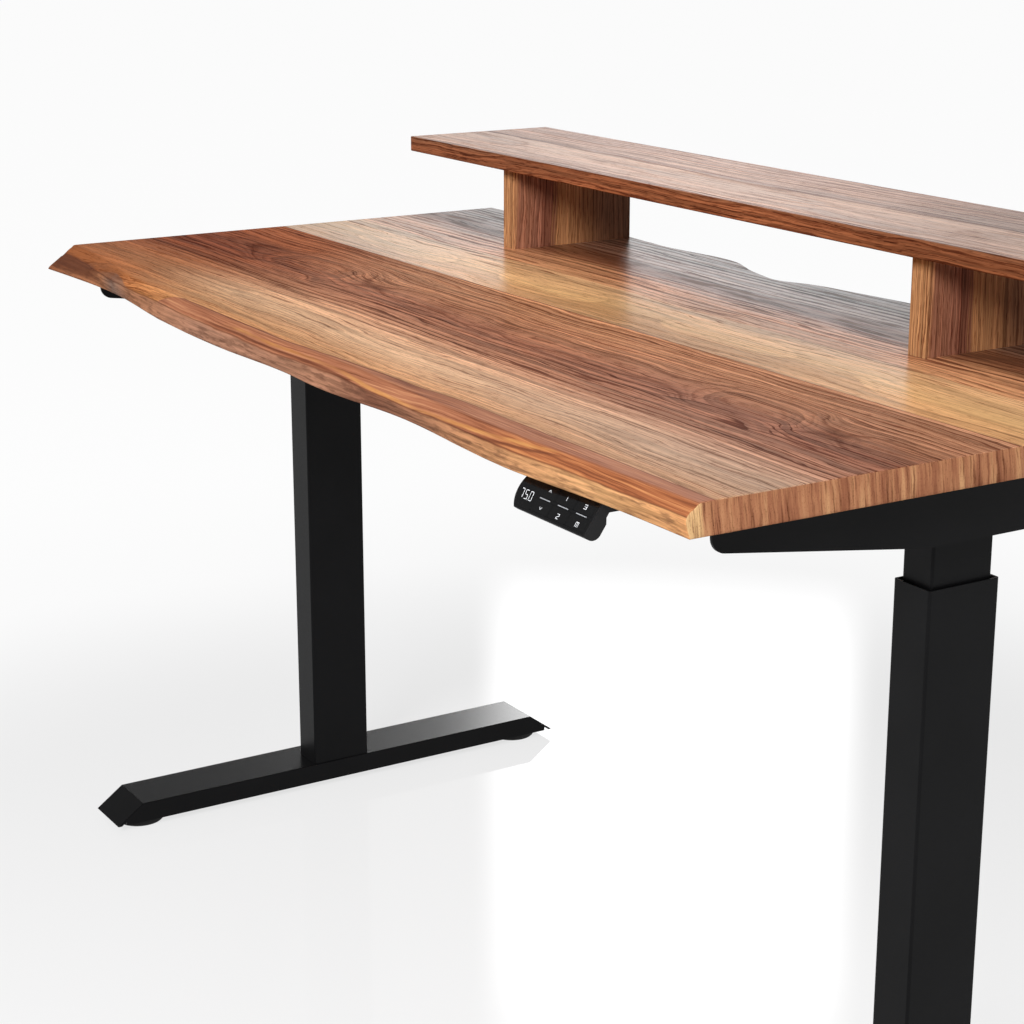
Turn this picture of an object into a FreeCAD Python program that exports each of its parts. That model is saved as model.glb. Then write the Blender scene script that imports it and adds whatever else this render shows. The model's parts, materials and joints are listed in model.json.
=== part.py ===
import FreeCAD, Part
import math
import os

from FreeCAD import Placement, Rotation, Vector

# Height-adjustable desk: a live-edge walnut top with a riser shelf, on two lifting columns.
# X runs along the desk with the user's right as +X, Y to the back and Z up.
# The origin is on the floor midway between the legs. All sizes are in millimetres.

# Desk top
FRAME_HEIGHT = 753.0      # floor to the underside of the top
TOP_LENGTH = 1430.0
TOP_DEPTH = 700.0         # nominal; the live edges wander about half of it
TOP_THICKNESS = 29.0
CREASE_DROP = 10.0        # from the upper face down to the crease of the live edge

# Each row is a place along half of the length, then how far the upper rim,
# the crease and the lower rim stand out past half of the nominal depth.
FRONT_EDGE = [
    (-1.00, -34, -23, 0),
    (-0.84, -28, -14, -6),
    (-0.68, -12, 0, -5),
    (-0.52, -4, 6, 7),
    (-0.31, 4, 14, 17),
    (-0.15, 5, 15, 17),
    (0.00, 6, 17, 13),
    (0.15, 1, 11, 16),
    (0.32, 5, 16, 7),
    (0.46, 8, 18, 11),
    (0.64, 9, 19, 18),
    (0.82, 5, 14, 11),
    (1.00, 2, 11, 9.5),
]
BACK_EDGE = [
    (-1.00, -25, -15, -4),
    (-0.84, -20, -11, 0),
    (-0.67, -12, -4, 8),
    (-0.55, -6, 3, 13),
    (-0.43, -11, -2, 8),
    (-0.31, -4, 5, 15),
    (-0.21, -7, 2, 11),
    (-0.147, -25, -17, -8),
    (-0.088, -36, -29, -22),
    (-0.035, -39, -32, -25),
    (0.007, -27, -20, -11),
    (0.084, -16, -8, 3),
    (0.23, -4, 5, 15),
    (0.42, 0, 9, 18.8),
    (0.63, -3, 6, 15),
    (0.84, -7, 2, 11),
    (1.00, -10, -1, 8),
]

# Riser shelf on the top
RISER_INSET = 96.5        # end of the shelf from the end of the top
RISER_DEPTH = 217.0
RISER_THICKNESS = 19.7
RISER_CLEARANCE = 103.0   # between the top and the shelf
RISER_REACH = 5.2         # back of the shelf past half of the nominal depth
RISER_MIDDLE = -3.0       # the riser stands a little left of the desk's middle
SUPPORT_INSET = 225.5     # middle of a support from the end of the shelf
SUPPORT_THICKNESS = 26.0
SUPPORT_DEPTH = 181.0
RISER_ROUNDING = 1.5      # of the shelf's and the supports' edges
DOWEL_RADIUS = 5.0
DOWEL_LENGTH = 40.0
DOWEL_IN_BOARD = 14.0     # depth of each dowel in the shelf or the top
DOWEL_SPACING = 110.0

# Columns
LEG_INSET = 95.0          # column's centre from the end of the top
OUTER_WIDTH = 48.8
OUTER_DEPTH = 83.5
OUTER_WALL = 2.0
OUTER_CORNER = 2.8
INNER_WIDTH = 39.6
INNER_DEPTH = 72.0
INNER_WALL = 2.0
INNER_CORNER = 2.6
INNER_SHOWN = 54.0        # of the inner tube above the outer one
INNER_REST = 54.5         # inner tube's end above the base plate
BASE_PLATE_THICKNESS = 8.0
GUIDE_HEIGHT = 40.0       # plastic collar in the outer tube's mouth
GUIDE_RECESS = 6.0        # below the outer tube's rim
SHOE_HEIGHT = 40.0        # plastic shoe round the inner tube's lower end
SHOE_SOLE = 3.0
SLIDE_CLEARANCE = 0.3
SEAT_CLEARANCE = 0.1      # round welded, pressed and glued pieces

# Feet and levelling feet
FOOT_LENGTH = 692.0
FOOT_WIDTH = 77.0
FOOT_RISE = 26.7
FOOT_SHEET = 3.0
FOOT_FOLD = 1.2           # outer radius along the folded edges
FOOT_SLOPE_RUN = 37.0     # length of each sloped end on plan
FOOT_LIP = 7.0            # the sloped ends run past the side walls by this
FOOT_OUTSET = 12.3        # foot's centre line outboard of the column's
FOOT_SETBACK = 6.0        # foot's middle behind the column's centre
PAD_RADIUS = 32.5
PAD_HEIGHT = 9.6
PAD_GAP = 0.5             # between a pad and the foot above it
PAD_CHAMFER = 2.0
PAD_INSET = 46.5          # from the tip of the foot
STUD_RADIUS = 4.0
STUD_COLLAR_RADIUS = 7.0
INSERT_RADIUS = 8.0
INSERT_HEIGHT = 20.0

# Lifting spindles
SPINDLE_RADIUS = 7.0
SPINDLE_TUCK = 17.0       # spindle's end above the inner tube's
SPINDLE_COLLAR_RADIUS = 10.0
SPINDLE_COLLAR_HEIGHT = 4.0
JOURNAL_RADIUS = 6.0
JOURNAL_IN_GEARBOX = 20.0
RUNNING_CLEARANCE = 0.05
BEARING_RADIUS = 16.0
BEARING_HEIGHT = 9.0
NUT_TUBE_RADIUS = 15.0
NUT_TUBE_WALL = 2.5
NUT_TUBE_DROP = 33.5      # nut tube's top below the outer tube's
NUT_HEIGHT = 34.0
NUT_FLANGE = 4.0

# Column heads, gearboxes and motors
HEAD_OUTBOARD = 20.0      # outer face of the head from the column's centre
HEAD_INBOARD = 70.0
HEAD_DEPTH = 104.0
HEAD_HEIGHT = 62.0
HEAD_WALL = 3.0
HEAD_FLOOR = 6.0
COLLAR_HOLE_CLEARANCE = 1.5
GEARBOX_INBOARD = 26.0
GEARBOX_OUTBOARD = 15.0
GEARBOX_DEPTH = 60.0
GEARBOX_HEIGHT = 50.0
GEARBOX_FLANGE = 8.0
GEARBOX_FLANGE_DEPTH = 92.0
GEARBOX_FILLET = 5.0
MOTOR_RADIUS = 24.5
MOTOR_LENGTH = 110.0
MOTOR_CAP_RADIUS = 18.0
MOTOR_CAP_LENGTH = 8.0

# Side arms and cross rails
ARM_WIDTH = 36.0
ARM_INSET = 42.0          # from each end of the arm to half of the nominal depth
ARM_DEPTH = 62.0          # over the level stretch at the column
ARM_TIP_DEPTH = 29.5
ARM_LEVEL = 152.0
ARM_CORNER = 15.0
ARM_SHEET = 3.0
ARM_SHORT_WEB = 50.0      # the left web stops this far from each end
RAIL_HEIGHT = 40.0
RAIL_DEPTH = 20.0
RAIL_WALL = 1.5
RAIL_DROP = 8.0           # below the underside of the top

# Control box under the top
CONTROL_LENGTH = 250.0
CONTROL_DEPTH = 110.0
CONTROL_HEIGHT = 37.0
CONTROL_WALL = 2.5
CONTROL_EAR = 18.0        # mounting ears past each end
CONTROL_Y = 160.0
BOARD_THICKNESS = 1.6
BOARD_POST_RADIUS = 4.0
BOARD_POST_HEIGHT = 8.0
BOARD_POST_INSET = 10.0
INLET_WIDTH = 28.0
JACK_WIDTH = 15.0
JACK_COUNT = 3
SOCKET_HEIGHT = 16.0
SOCKET_LENGTH = 24.0
SOCKET_WALL = 2.0
SOCKET_PROUD = 0.8
SOCKET_PITCH = 34.0

# Keypad under the front edge
KEYPAD_INSET = 246.0      # start of the face's straight part from the end of the top
KEYPAD_REACH = 17.5       # lower edge of the face past half of the nominal depth
KEYPAD_DROP = 29.9        # lower edge of the face below the underside of the top
KEYPAD_TILT = 55.5        # degrees from level
FACE_LENGTH = 110.0
FACE_HEIGHT = 33.0
FACE_BULGE = 7.0          # of the rounded left end
FACE_THICKNESS = 2.0
FACE_MARGIN = 1.8         # outside the key openings
HOUSING_THICKNESS = 13.2
HOUSING_RIM = 1.2
HOUSING_END_WALL = 1.8
HOUSING_END_PROUD = 0.8
HOUSING_ROUNDING = 9.0    # of the lower back edge
END_CUT_START = 107.5     # the upper back of the housing is thinner from here to its right end
END_CUT_FLOOR = 9.0       # depth left there behind the face
END_CUT_LOW = 18.0        # the thinning begins at this height of the face
END_CUT_HIGH = 24.3       # and is complete at this one
POCKET_DEPTH = 8.0
POCKET_LEDGE = 1.2
KEYPAD_BLOCK_HEIGHT = 15.0
KEYPAD_BLOCK_DEPTH = 33.0
KEYPAD_BLOCK_SETBACK = 23.0   # block's front behind the lower edge of the face
KEYPAD_BLOCK_INSET = 5.0      # from each end of the straight face
KEY_COLUMNS = 3
KEY_FIRST = 36.0          # middle of the first key column
KEY_PITCH = 28.3
KEY_RIB = 0.9             # face left between two columns
KEY_BAND = 2.4            # face left between the upper and lower keys
BAND_MIDDLE = 15.2        # its middle above the lower edge of the face
KEY_CLEARANCE = 0.25
KEY_CAP = 2.3
KEY_FLANGE = 1.0
KEY_FLANGE_STEP = 0.5
KEY_STEM_RADIUS = 2.5
KEY_STEM = 2.1
KEY_CORNER = 1.0
LIGHT_BAR_LENGTH = 16.0
LIGHT_BAR_WIDTH = 0.8
WINDOW_LENGTH = 23.0
WINDOW_HEIGHT = 13.0
WINDOW_START = -3.0
WINDOW_LOW = 6.5
WINDOW_THICKNESS = 2.0

# Fasteners
CLAMP_THICKNESS = 3.0     # metal or plastic under each wood screw's head
WOOD_SCREW_RADIUS = 2.0
WOOD_SCREW_LENGTH = 18.0
WOOD_SCREW_HEAD_RADIUS = 4.5
WOOD_SCREW_HEAD = 3.0
BOLT_RADIUS = 3.0
BOLT_LENGTH = 16.0
BOLT_HEAD_RADIUS = 5.0
BOLT_HEAD = 4.0
FOOT_BOLT_RADIUS = 4.0
FOOT_BOLT_LENGTH = 10.0
FOOT_BOLT_HEAD_RADIUS = 7.0
FOOT_BOLT_HEAD = 4.5
SOCKET_SHARE = 0.5        # hexagon socket's size against the head's
BOLT_CLEARANCE = 0.1
COUNTERBORE_CLEARANCE = 0.8

# Where the fasteners go, from the middle of the piece that they hold
FOOT_BOLT_X = 12.0
FOOT_BOLT_Y = 26.0
GEARBOX_BOLT_X = (-18.0, 8.0)
GEARBOX_BOLT_INSET = 6.0
ARM_BOLT_INSET = 10.0     # from the front and back of the column head
ARM_BOLT_DROPS = (15.0, 40.0)
RAIL_BOLT_X = (-58.0, -34.0)
ARM_SCREW_Y = (120.0, 270.0)
CONTROL_SCREW_INSET = 8.0
KEYPAD_SCREW_INSET = 18.0

# Heights and places that follow from the sizes above
TOP_SURFACE = FRAME_HEIGHT + TOP_THICKNESS
COLUMN_X = TOP_LENGTH / 2 - LEG_INSET
FOOT_X = COLUMN_X + FOOT_OUTSET
FOOT_BOTTOM = PAD_HEIGHT + PAD_GAP
FOOT_TOP = FOOT_BOTTOM + FOOT_RISE
BASE_PLATE_TOP = FOOT_TOP + BASE_PLATE_THICKNESS
HEAD_BOTTOM = FRAME_HEIGHT - HEAD_HEIGHT
HEAD_FLOOR_TOP = HEAD_BOTTOM + HEAD_FLOOR
OUTER_TOP = HEAD_BOTTOM - INNER_SHOWN
INNER_BOTTOM = BASE_PLATE_TOP + INNER_REST
NUT_TUBE_TOP = OUTER_TOP - NUT_TUBE_DROP
ARM_INNER = COLUMN_X + HEAD_OUTBOARD
ARM_OUTER = ARM_INNER + ARM_WIDTH
MOTOR_Z = HEAD_FLOOR_TOP + MOTOR_RADIUS + SLIDE_CLEARANCE
RAIL_INNER = HEAD_DEPTH / 2
RAIL_Z = FRAME_HEIGHT - RAIL_DROP - RAIL_HEIGHT / 2
SHELF_BOTTOM = TOP_SURFACE + RISER_CLEARANCE
SHELF_TOP = SHELF_BOTTOM + RISER_THICKNESS
RISER_BACK = TOP_DEPTH / 2 + RISER_REACH
RISER_FRONT = RISER_BACK - RISER_DEPTH
SUPPORT_Y = RISER_BACK - RISER_DEPTH / 2
RISER_END = TOP_LENGTH / 2 - RISER_INSET
SUPPORT_X = RISER_END - SUPPORT_INSET
CLAMP_BOTTOM = FRAME_HEIGHT - CLAMP_THICKNESS
CONTROL_BOTTOM = CLAMP_BOTTOM - CONTROL_HEIGHT
KEYPAD_X = TOP_LENGTH / 2 - KEYPAD_INSET
KEYPAD_FRONT = -TOP_DEPTH / 2 - KEYPAD_REACH
FACE_FRAME = Placement(
    Vector(KEYPAD_X, KEYPAD_FRONT, FRAME_HEIGHT - KEYPAD_DROP),
    Rotation(Vector(1, 0, 0), KEYPAD_TILT),
)
UP = Vector(0, 0, 1)
DOWN = Vector(0, 0, -1)


def box(x0, x1, y0, y1, z0, z1):
    """Block between two corners."""
    return Part.makeBox(x1 - x0, y1 - y0, z1 - z0, Vector(x0, y0, z0))


def rod(x, y, z0, z1, radius):
    """Upright cylinder."""
    return Part.makeCylinder(radius, z1 - z0, Vector(x, y, z0))


def edges_along(shape, axis, keep=lambda middle: True):
    """Straight edges of a shape that run along an axis and whose middle is wanted."""
    found = []
    for edge in shape.Edges:
        if not isinstance(edge.Curve, Part.Line):
            continue
        run = edge.Vertexes[-1].Point - edge.Vertexes[0].Point
        if run.Length > 0 and abs(run.dot(axis)) > 0.999 * run.Length:
            if keep(edge.CenterOfMass):
                found.append(edge)
    return found


def rounded_bar(x, y, width, depth, z0, z1, corner):
    """Upright bar with rounded corners about a centre line."""
    bar = box(x - width / 2, x + width / 2, y - depth / 2, y + depth / 2, z0, z1)
    return bar.makeFillet(corner, edges_along(bar, UP))


def outer_bar(grow, z0, z1):
    """Bar with the outer tube's section, grown all round."""
    width = OUTER_WIDTH + 2 * grow
    depth = OUTER_DEPTH + 2 * grow
    return rounded_bar(COLUMN_X, 0, width, depth, z0, z1, OUTER_CORNER + grow)


def inner_bar(grow, z0, z1):
    """Bar with the inner tube's section, grown all round."""
    width = INNER_WIDTH + 2 * grow
    depth = INNER_DEPTH + 2 * grow
    return rounded_bar(COLUMN_X, 0, width, depth, z0, z1, INNER_CORNER + grow)


def straight(a, b):
    """Straight edge between two points."""
    return Part.LineSegment(a, b).toShape()


def mirrored(shape):
    """The same piece for the other end of the desk."""
    return shape.mirror(Vector(0, 0, 0), Vector(1, 0, 0))


def bolt(seat, direction, radius, length, head_radius, head_height):
    """Round-headed bolt with a hexagon socket; the head's underside is at the seat."""
    shank = Part.makeCylinder(radius, length, seat, direction)
    head = Part.makeCylinder(head_radius, head_height, seat - direction * head_height, direction)
    size = head_radius * SOCKET_SHARE
    angles = [k * math.pi / 3 for k in range(7)]
    corners = [Vector(size * math.cos(angle), size * math.sin(angle), 0) for angle in angles]
    hexagon = Part.Face(Part.makePolygon(corners)).extrude(UP * head_height * SOCKET_SHARE)
    hexagon.Placement = Placement(seat - direction * head_height, Rotation(UP, direction))
    return shank.fuse(head).cut(hexagon).removeSplitter()


def bolt_hole(seat, direction, radius, length):
    """Clearance hole for a bolt, from its seat along its shank."""
    reach = length + BOLT_CLEARANCE
    return Part.makeCylinder(radius + BOLT_CLEARANCE, reach, seat, direction)


def cut_all(shape, tools):
    """A shape with every tool cut out of it."""
    return shape.cut(list(tools)) if tools else shape


def export(node, shape):
    """Writes one piece, or a group of like fasteners, to its own file."""
    shape.exportStep("parts/%s.step" % node)


# Fastener seats. Those of one leg are for the right end of the desk and are mirrored for the left.

def foot_bolt_seats():
    """Undersides of the foot where its four column bolts sit."""
    z = FOOT_TOP - FOOT_SHEET
    return [Vector(COLUMN_X + i * FOOT_BOLT_X, j * FOOT_BOLT_Y, z) for i in (-1, 1) for j in (-1, 1)]


def gearbox_bolts():
    """Seats and directions of the bolts that hold the gearbox to the column head."""
    y = GEARBOX_FLANGE_DEPTH / 2 - GEARBOX_BOLT_INSET
    z = HEAD_FLOOR_TOP + GEARBOX_FLANGE
    return [(Vector(COLUMN_X + x, j * y, z), DOWN) for x in GEARBOX_BOLT_X for j in (-1, 1)]


def arm_bolts():
    """Seats and directions of the bolts that hold the side arm to the column head."""
    x = ARM_INNER - HEAD_WALL
    y = HEAD_DEPTH / 2 - ARM_BOLT_INSET
    heights = [FRAME_HEIGHT - drop for drop in ARM_BOLT_DROPS]
    return [(Vector(x, j * y, z), Vector(1, 0, 0)) for z in heights for j in (-1, 1)]


def rail_bolts():
    """Seats and directions of the bolts that hold both rails to the column head."""
    y = RAIL_INNER - HEAD_WALL
    return [(Vector(COLUMN_X + x, j * y, RAIL_Z), Vector(0, j, 0)) for x in RAIL_BOLT_X for j in (-1, 1)]


def arm_screw_points():
    """Places of the wood screws in the right arm."""
    x = (ARM_INNER + ARM_OUTER) / 2
    return [(x, j * y) for y in ARM_SCREW_Y for j in (-1, 1)]


def control_screw_points():
    """Places of the wood screws in the control box's ears."""
    x = CONTROL_LENGTH / 2 + CONTROL_EAR - CONTROL_SCREW_INSET
    y = CONTROL_DEPTH / 2 - CONTROL_SCREW_INSET
    return [(i * x, CONTROL_Y + j * y) for i in (-1, 1) for j in (-1, 1)]


def keypad_screw_points():
    """Places of the wood screws in the keypad's mounting block."""
    first = KEYPAD_X + KEYPAD_BLOCK_INSET + KEYPAD_SCREW_INSET
    last = KEYPAD_X + FACE_LENGTH - KEYPAD_BLOCK_INSET - KEYPAD_SCREW_INSET
    y = KEYPAD_FRONT + KEYPAD_BLOCK_SETBACK + KEYPAD_BLOCK_DEPTH / 2
    return [(first, y), (last, y)]


def wood_screw_points():
    """Places of every wood screw under the top."""
    right = arm_screw_points()
    left = [(-x, y) for x, y in right]
    return left + right + control_screw_points() + keypad_screw_points()


def dowel_points():
    """Places of the dowels in the two riser supports."""
    half = DOWEL_SPACING / 2
    return [(RISER_MIDDLE + i * SUPPORT_X, SUPPORT_Y + j * half) for i in (-1, 1) for j in (-1, 1)]


def clamp_hole(x, y):
    """Hole for a wood screw's shank through what it clamps."""
    return rod(x, y, CLAMP_BOTTOM, FRAME_HEIGHT, WOOD_SCREW_RADIUS + BOLT_CLEARANCE)


# Wooden pieces

def edge_lines(rows, side):
    """Upper rim, crease and lower rim of one live edge, as smooth lines along the desk."""
    heights = (TOP_SURFACE, TOP_SURFACE - CREASE_DROP, FRAME_HEIGHT)
    places = [row[0] for row in rows]
    half_length = TOP_LENGTH / 2
    half_depth = TOP_DEPTH / 2
    lines = []
    for column, z in enumerate(heights, start=1):
        points = [Vector(row[0] * half_length, side * (half_depth + row[column]), z) for row in rows]
        curve = Part.BSplineCurve()
        curve.interpolate(Points=points, Parameters=places)
        lines.append(curve.toShape())
    return lines


def live_edge_board():
    """Board between two live edges: flat faces and ends, with two ruled bands along each edge."""
    front = edge_lines(FRONT_EDGE, -1)
    back = edge_lines(BACK_EDGE, 1)
    faces = []
    for upper, lower in (front[:2], front[1:], back[:2], back[1:]):
        faces.append(Part.makeRuledSurface(upper, lower))
    for near, far in ((front[0], back[0]), (front[2], back[2])):
        ends = [straight(near.Vertexes[k].Point, far.Vertexes[k].Point) for k in (0, 1)]
        faces.append(Part.Face(Part.Wire([near, ends[1], far, ends[0]])))
    for k in (0, 1):
        corners = [line.Vertexes[k].Point for line in front + back[::-1]]
        faces.append(Part.Face(Part.makePolygon(corners + corners[:1])))
    skin = Part.Compound(faces)
    skin.sewShape()
    return Part.Solid(skin.Shells[0])


def tabletop():
    """Thick board with two live edges, pilot holes below and dowel holes above."""
    depth = WOOD_SCREW_LENGTH - CLAMP_THICKNESS + BOLT_CLEARANCE
    radius = WOOD_SCREW_RADIUS + BOLT_CLEARANCE
    pilots = [rod(x, y, FRAME_HEIGHT, FRAME_HEIGHT + depth, radius) for x, y in wood_screw_points()]
    return cut_all(live_edge_board(), pilots + dowel_holes(TOP_SURFACE - DOWEL_IN_BOARD))


def dowel_holes(bottom):
    """Holes for the dowels whose lower ends are at one height."""
    radius = DOWEL_RADIUS + SEAT_CLEARANCE
    low = bottom - SEAT_CLEARANCE
    high = bottom + DOWEL_LENGTH + SEAT_CLEARANCE
    return [rod(x, y, low, high, radius) for x, y in dowel_points()]


def dowel_levels():
    """Lower ends of the dowels below and above the supports."""
    return [TOP_SURFACE - DOWEL_IN_BOARD, SHELF_BOTTOM + DOWEL_IN_BOARD - DOWEL_LENGTH]


def riser_board():
    """Shelf of the riser."""
    left = RISER_MIDDLE - RISER_END
    right = RISER_MIDDLE + RISER_END
    board = box(left, right, RISER_FRONT, RISER_BACK, SHELF_BOTTOM, SHELF_TOP)
    board = board.makeFillet(RISER_ROUNDING, board.Edges)
    return cut_all(board, dowel_holes(dowel_levels()[1]))


def riser_support(side):
    """Upright board under the left (-1) or right (1) half of the shelf."""
    middle = RISER_MIDDLE + side * SUPPORT_X
    half = SUPPORT_THICKNESS / 2
    back = SUPPORT_Y + SUPPORT_DEPTH / 2
    board = box(middle - half, middle + half, back - SUPPORT_DEPTH, back, TOP_SURFACE, SHELF_BOTTOM)
    board = board.makeFillet(RISER_ROUNDING, edges_along(board, UP))
    return cut_all(board, [hole for level in dowel_levels() for hole in dowel_holes(level)])


def riser_dowels():
    """Wooden dowels between the supports and the boards."""
    dowels = []
    for level in dowel_levels():
        for x, y in dowel_points():
            dowels.append(rod(x, y, level, level + DOWEL_LENGTH, DOWEL_RADIUS))
    return Part.makeCompound(dowels)


# Feet and fixed halves of the columns, for the right end of the desk

def foot():
    """Folded sheet foot: a sloped-end plate with two side walls, open below."""
    half = FOOT_LENGTH / 2
    flat = half - FOOT_SLOPE_RUN
    slope = math.hypot(FOOT_SLOPE_RUN, FOOT_RISE)
    level_cut = FOOT_SHEET * slope / FOOT_RISE
    fold = FOOT_SHEET * (slope - FOOT_SLOPE_RUN) / FOOT_RISE
    profile = [
        (-half, FOOT_BOTTOM),
        (-flat, FOOT_TOP),
        (flat, FOOT_TOP),
        (half, FOOT_BOTTOM),
        (half - level_cut, FOOT_BOTTOM),
        (flat - fold, FOOT_TOP - FOOT_SHEET),
        (fold - flat, FOOT_TOP - FOOT_SHEET),
        (level_cut - half, FOOT_BOTTOM),
        (-half, FOOT_BOTTOM),
    ]
    inner = FOOT_X - FOOT_WIDTH / 2
    outline = Part.makePolygon([Vector(inner, y + FOOT_SETBACK, z) for y, z in profile])
    plate = Part.Face(outline).extrude(Vector(FOOT_WIDTH, 0, 0))
    folds = []
    for edge in plate.Edges:
        bounds = edge.BoundBox
        if bounds.ZMax > FOOT_TOP - FOOT_FOLD and bounds.XLength < FOOT_FOLD:
            folds.append(edge)
    plate = plate.makeFillet(FOOT_FOLD, folds)
    wall_end = half - level_cut - FOOT_LIP
    wall_rise = FOOT_RISE * FOOT_LIP / FOOT_SLOPE_RUN
    side = [
        (-wall_end, FOOT_BOTTOM),
        (-wall_end, FOOT_BOTTOM + wall_rise),
        (fold - flat, FOOT_TOP - FOOT_SHEET),
        (flat - fold, FOOT_TOP - FOOT_SHEET),
        (wall_end, FOOT_BOTTOM + wall_rise),
        (wall_end, FOOT_BOTTOM),
        (-wall_end, FOOT_BOTTOM),
    ]
    shell = plate
    for x in (inner, inner + FOOT_WIDTH - FOOT_SHEET):
        wall = Part.makePolygon([Vector(x, y + FOOT_SETBACK, z) for y, z in side])
        shell = shell.fuse(Part.Face(wall).extrude(Vector(FOOT_SHEET, 0, 0)))
    holes = [bolt_hole(seat, UP, FOOT_BOLT_RADIUS, FOOT_BOLT_LENGTH) for seat in foot_bolt_seats()]
    return cut_all(shell.removeSplitter(), holes)


def levelling_y(end):
    """Place of the front (-1) or back (1) levelling foot along the foot."""
    return FOOT_SETBACK + end * (FOOT_LENGTH / 2 - PAD_INSET)


def levelling_insert(end):
    """Threaded bush welded under the foot's plate."""
    high = FOOT_TOP - FOOT_SHEET
    bush = rod(FOOT_X, levelling_y(end), high - INSERT_HEIGHT, high, INSERT_RADIUS)
    bore = rod(FOOT_X, levelling_y(end), high - INSERT_HEIGHT, high, STUD_RADIUS + RUNNING_CLEARANCE)
    return bush.cut(bore)


def levelling_foot(end):
    """Moulded pad with its threaded stud."""
    y = levelling_y(end)
    pad = rod(FOOT_X, y, 0, PAD_HEIGHT, PAD_RADIUS)
    pad = pad.makeChamfer(PAD_CHAMFER, [pad.Edges[0], pad.Edges[2]])
    insert_bottom = FOOT_TOP - FOOT_SHEET - INSERT_HEIGHT
    collar = rod(FOOT_X, y, PAD_HEIGHT / 2, insert_bottom - SLIDE_CLEARANCE, STUD_COLLAR_RADIUS)
    stud = rod(FOOT_X, y, PAD_HEIGHT / 2, FOOT_TOP - FOOT_SHEET - SLIDE_CLEARANCE, STUD_RADIUS)
    return pad.fuse(collar).fuse(stud).removeSplitter()


def outer_tube():
    """Fixed lower tube of the column."""
    return outer_bar(0, FOOT_TOP, OUTER_TOP).cut(outer_bar(-OUTER_WALL, FOOT_TOP, OUTER_TOP))


def base_plate():
    """Thick plate welded in the foot of the outer tube."""
    plate = outer_bar(-OUTER_WALL - SEAT_CLEARANCE, FOOT_TOP, BASE_PLATE_TOP)
    holes = [bolt_hole(seat, UP, FOOT_BOLT_RADIUS, FOOT_BOLT_LENGTH) for seat in foot_bolt_seats()]
    return cut_all(plate, holes)


def guide_collar():
    """Plastic guide in the mouth of the outer tube."""
    high = OUTER_TOP - GUIDE_RECESS
    low = high - GUIDE_HEIGHT
    return outer_bar(-OUTER_WALL - SEAT_CLEARANCE, low, high).cut(inner_bar(SLIDE_CLEARANCE, low, high))


def nut_tube():
    """Thrust tube that stands on the base plate and carries the spindle nut."""
    outside = rod(COLUMN_X, 0, BASE_PLATE_TOP, NUT_TUBE_TOP, NUT_TUBE_RADIUS)
    inside = rod(COLUMN_X, 0, BASE_PLATE_TOP, NUT_TUBE_TOP, NUT_TUBE_RADIUS - NUT_TUBE_WALL)
    return outside.cut(inside)


def spindle_nut():
    """Flanged nut in the top of the thrust tube."""
    flange = rod(COLUMN_X, 0, NUT_TUBE_TOP, NUT_TUBE_TOP + NUT_FLANGE, NUT_TUBE_RADIUS)
    body_radius = NUT_TUBE_RADIUS - NUT_TUBE_WALL - SEAT_CLEARANCE
    body = rod(COLUMN_X, 0, NUT_TUBE_TOP + NUT_FLANGE - NUT_HEIGHT, NUT_TUBE_TOP + NUT_FLANGE, body_radius)
    bore_radius = SPINDLE_RADIUS + RUNNING_CLEARANCE
    bore = rod(COLUMN_X, 0, NUT_TUBE_TOP - NUT_HEIGHT, NUT_TUBE_TOP + NUT_FLANGE, bore_radius)
    return flange.fuse(body).cut(bore).removeSplitter()


def foot_bolts():
    """Bolts that hold both columns to their feet."""
    bolts = []
    for seat in foot_bolt_seats():
        piece = bolt(seat, UP, FOOT_BOLT_RADIUS, FOOT_BOLT_LENGTH, FOOT_BOLT_HEAD_RADIUS, FOOT_BOLT_HEAD)
        bolts += [piece, mirrored(piece)]
    return Part.makeCompound(bolts)


# Lifting halves of the columns, for the right end of the desk

def inner_tube():
    """Lifting upper tube of the column."""
    return inner_bar(0, INNER_BOTTOM, HEAD_BOTTOM).cut(inner_bar(-INNER_WALL, INNER_BOTTOM, HEAD_BOTTOM))


def slide_shoe():
    """Plastic shoe on the inner tube's lower end, running in the outer tube."""
    low = INNER_BOTTOM - SHOE_SOLE
    high = INNER_BOTTOM + SHOE_HEIGHT
    shoe = outer_bar(-OUTER_WALL - SLIDE_CLEARANCE, low, high)
    seat = inner_bar(SEAT_CLEARANCE, INNER_BOTTOM, high)
    opening = inner_bar(-INNER_WALL, low, high)
    return shoe.cut(seat).cut(opening)


def spindle():
    """Lifting spindle: threaded rod, thrust collar and journal."""
    high = HEAD_FLOOR_TOP - RUNNING_CLEARANCE
    low = high - SPINDLE_COLLAR_HEIGHT
    thread = rod(COLUMN_X, 0, INNER_BOTTOM + SPINDLE_TUCK, low, SPINDLE_RADIUS)
    collar = rod(COLUMN_X, 0, low, high, SPINDLE_COLLAR_RADIUS)
    journal = rod(COLUMN_X, 0, high, HEAD_FLOOR_TOP + BEARING_HEIGHT + JOURNAL_IN_GEARBOX, JOURNAL_RADIUS)
    return thread.fuse(collar).fuse(journal).removeSplitter()


def spindle_bearing():
    """Thrust bearing in the underside of the gearbox."""
    high = HEAD_FLOOR_TOP + BEARING_HEIGHT
    ring = rod(COLUMN_X, 0, HEAD_FLOOR_TOP, high, BEARING_RADIUS)
    bore = rod(COLUMN_X, 0, HEAD_FLOOR_TOP, high, JOURNAL_RADIUS + RUNNING_CLEARANCE)
    return ring.cut(bore)


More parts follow.
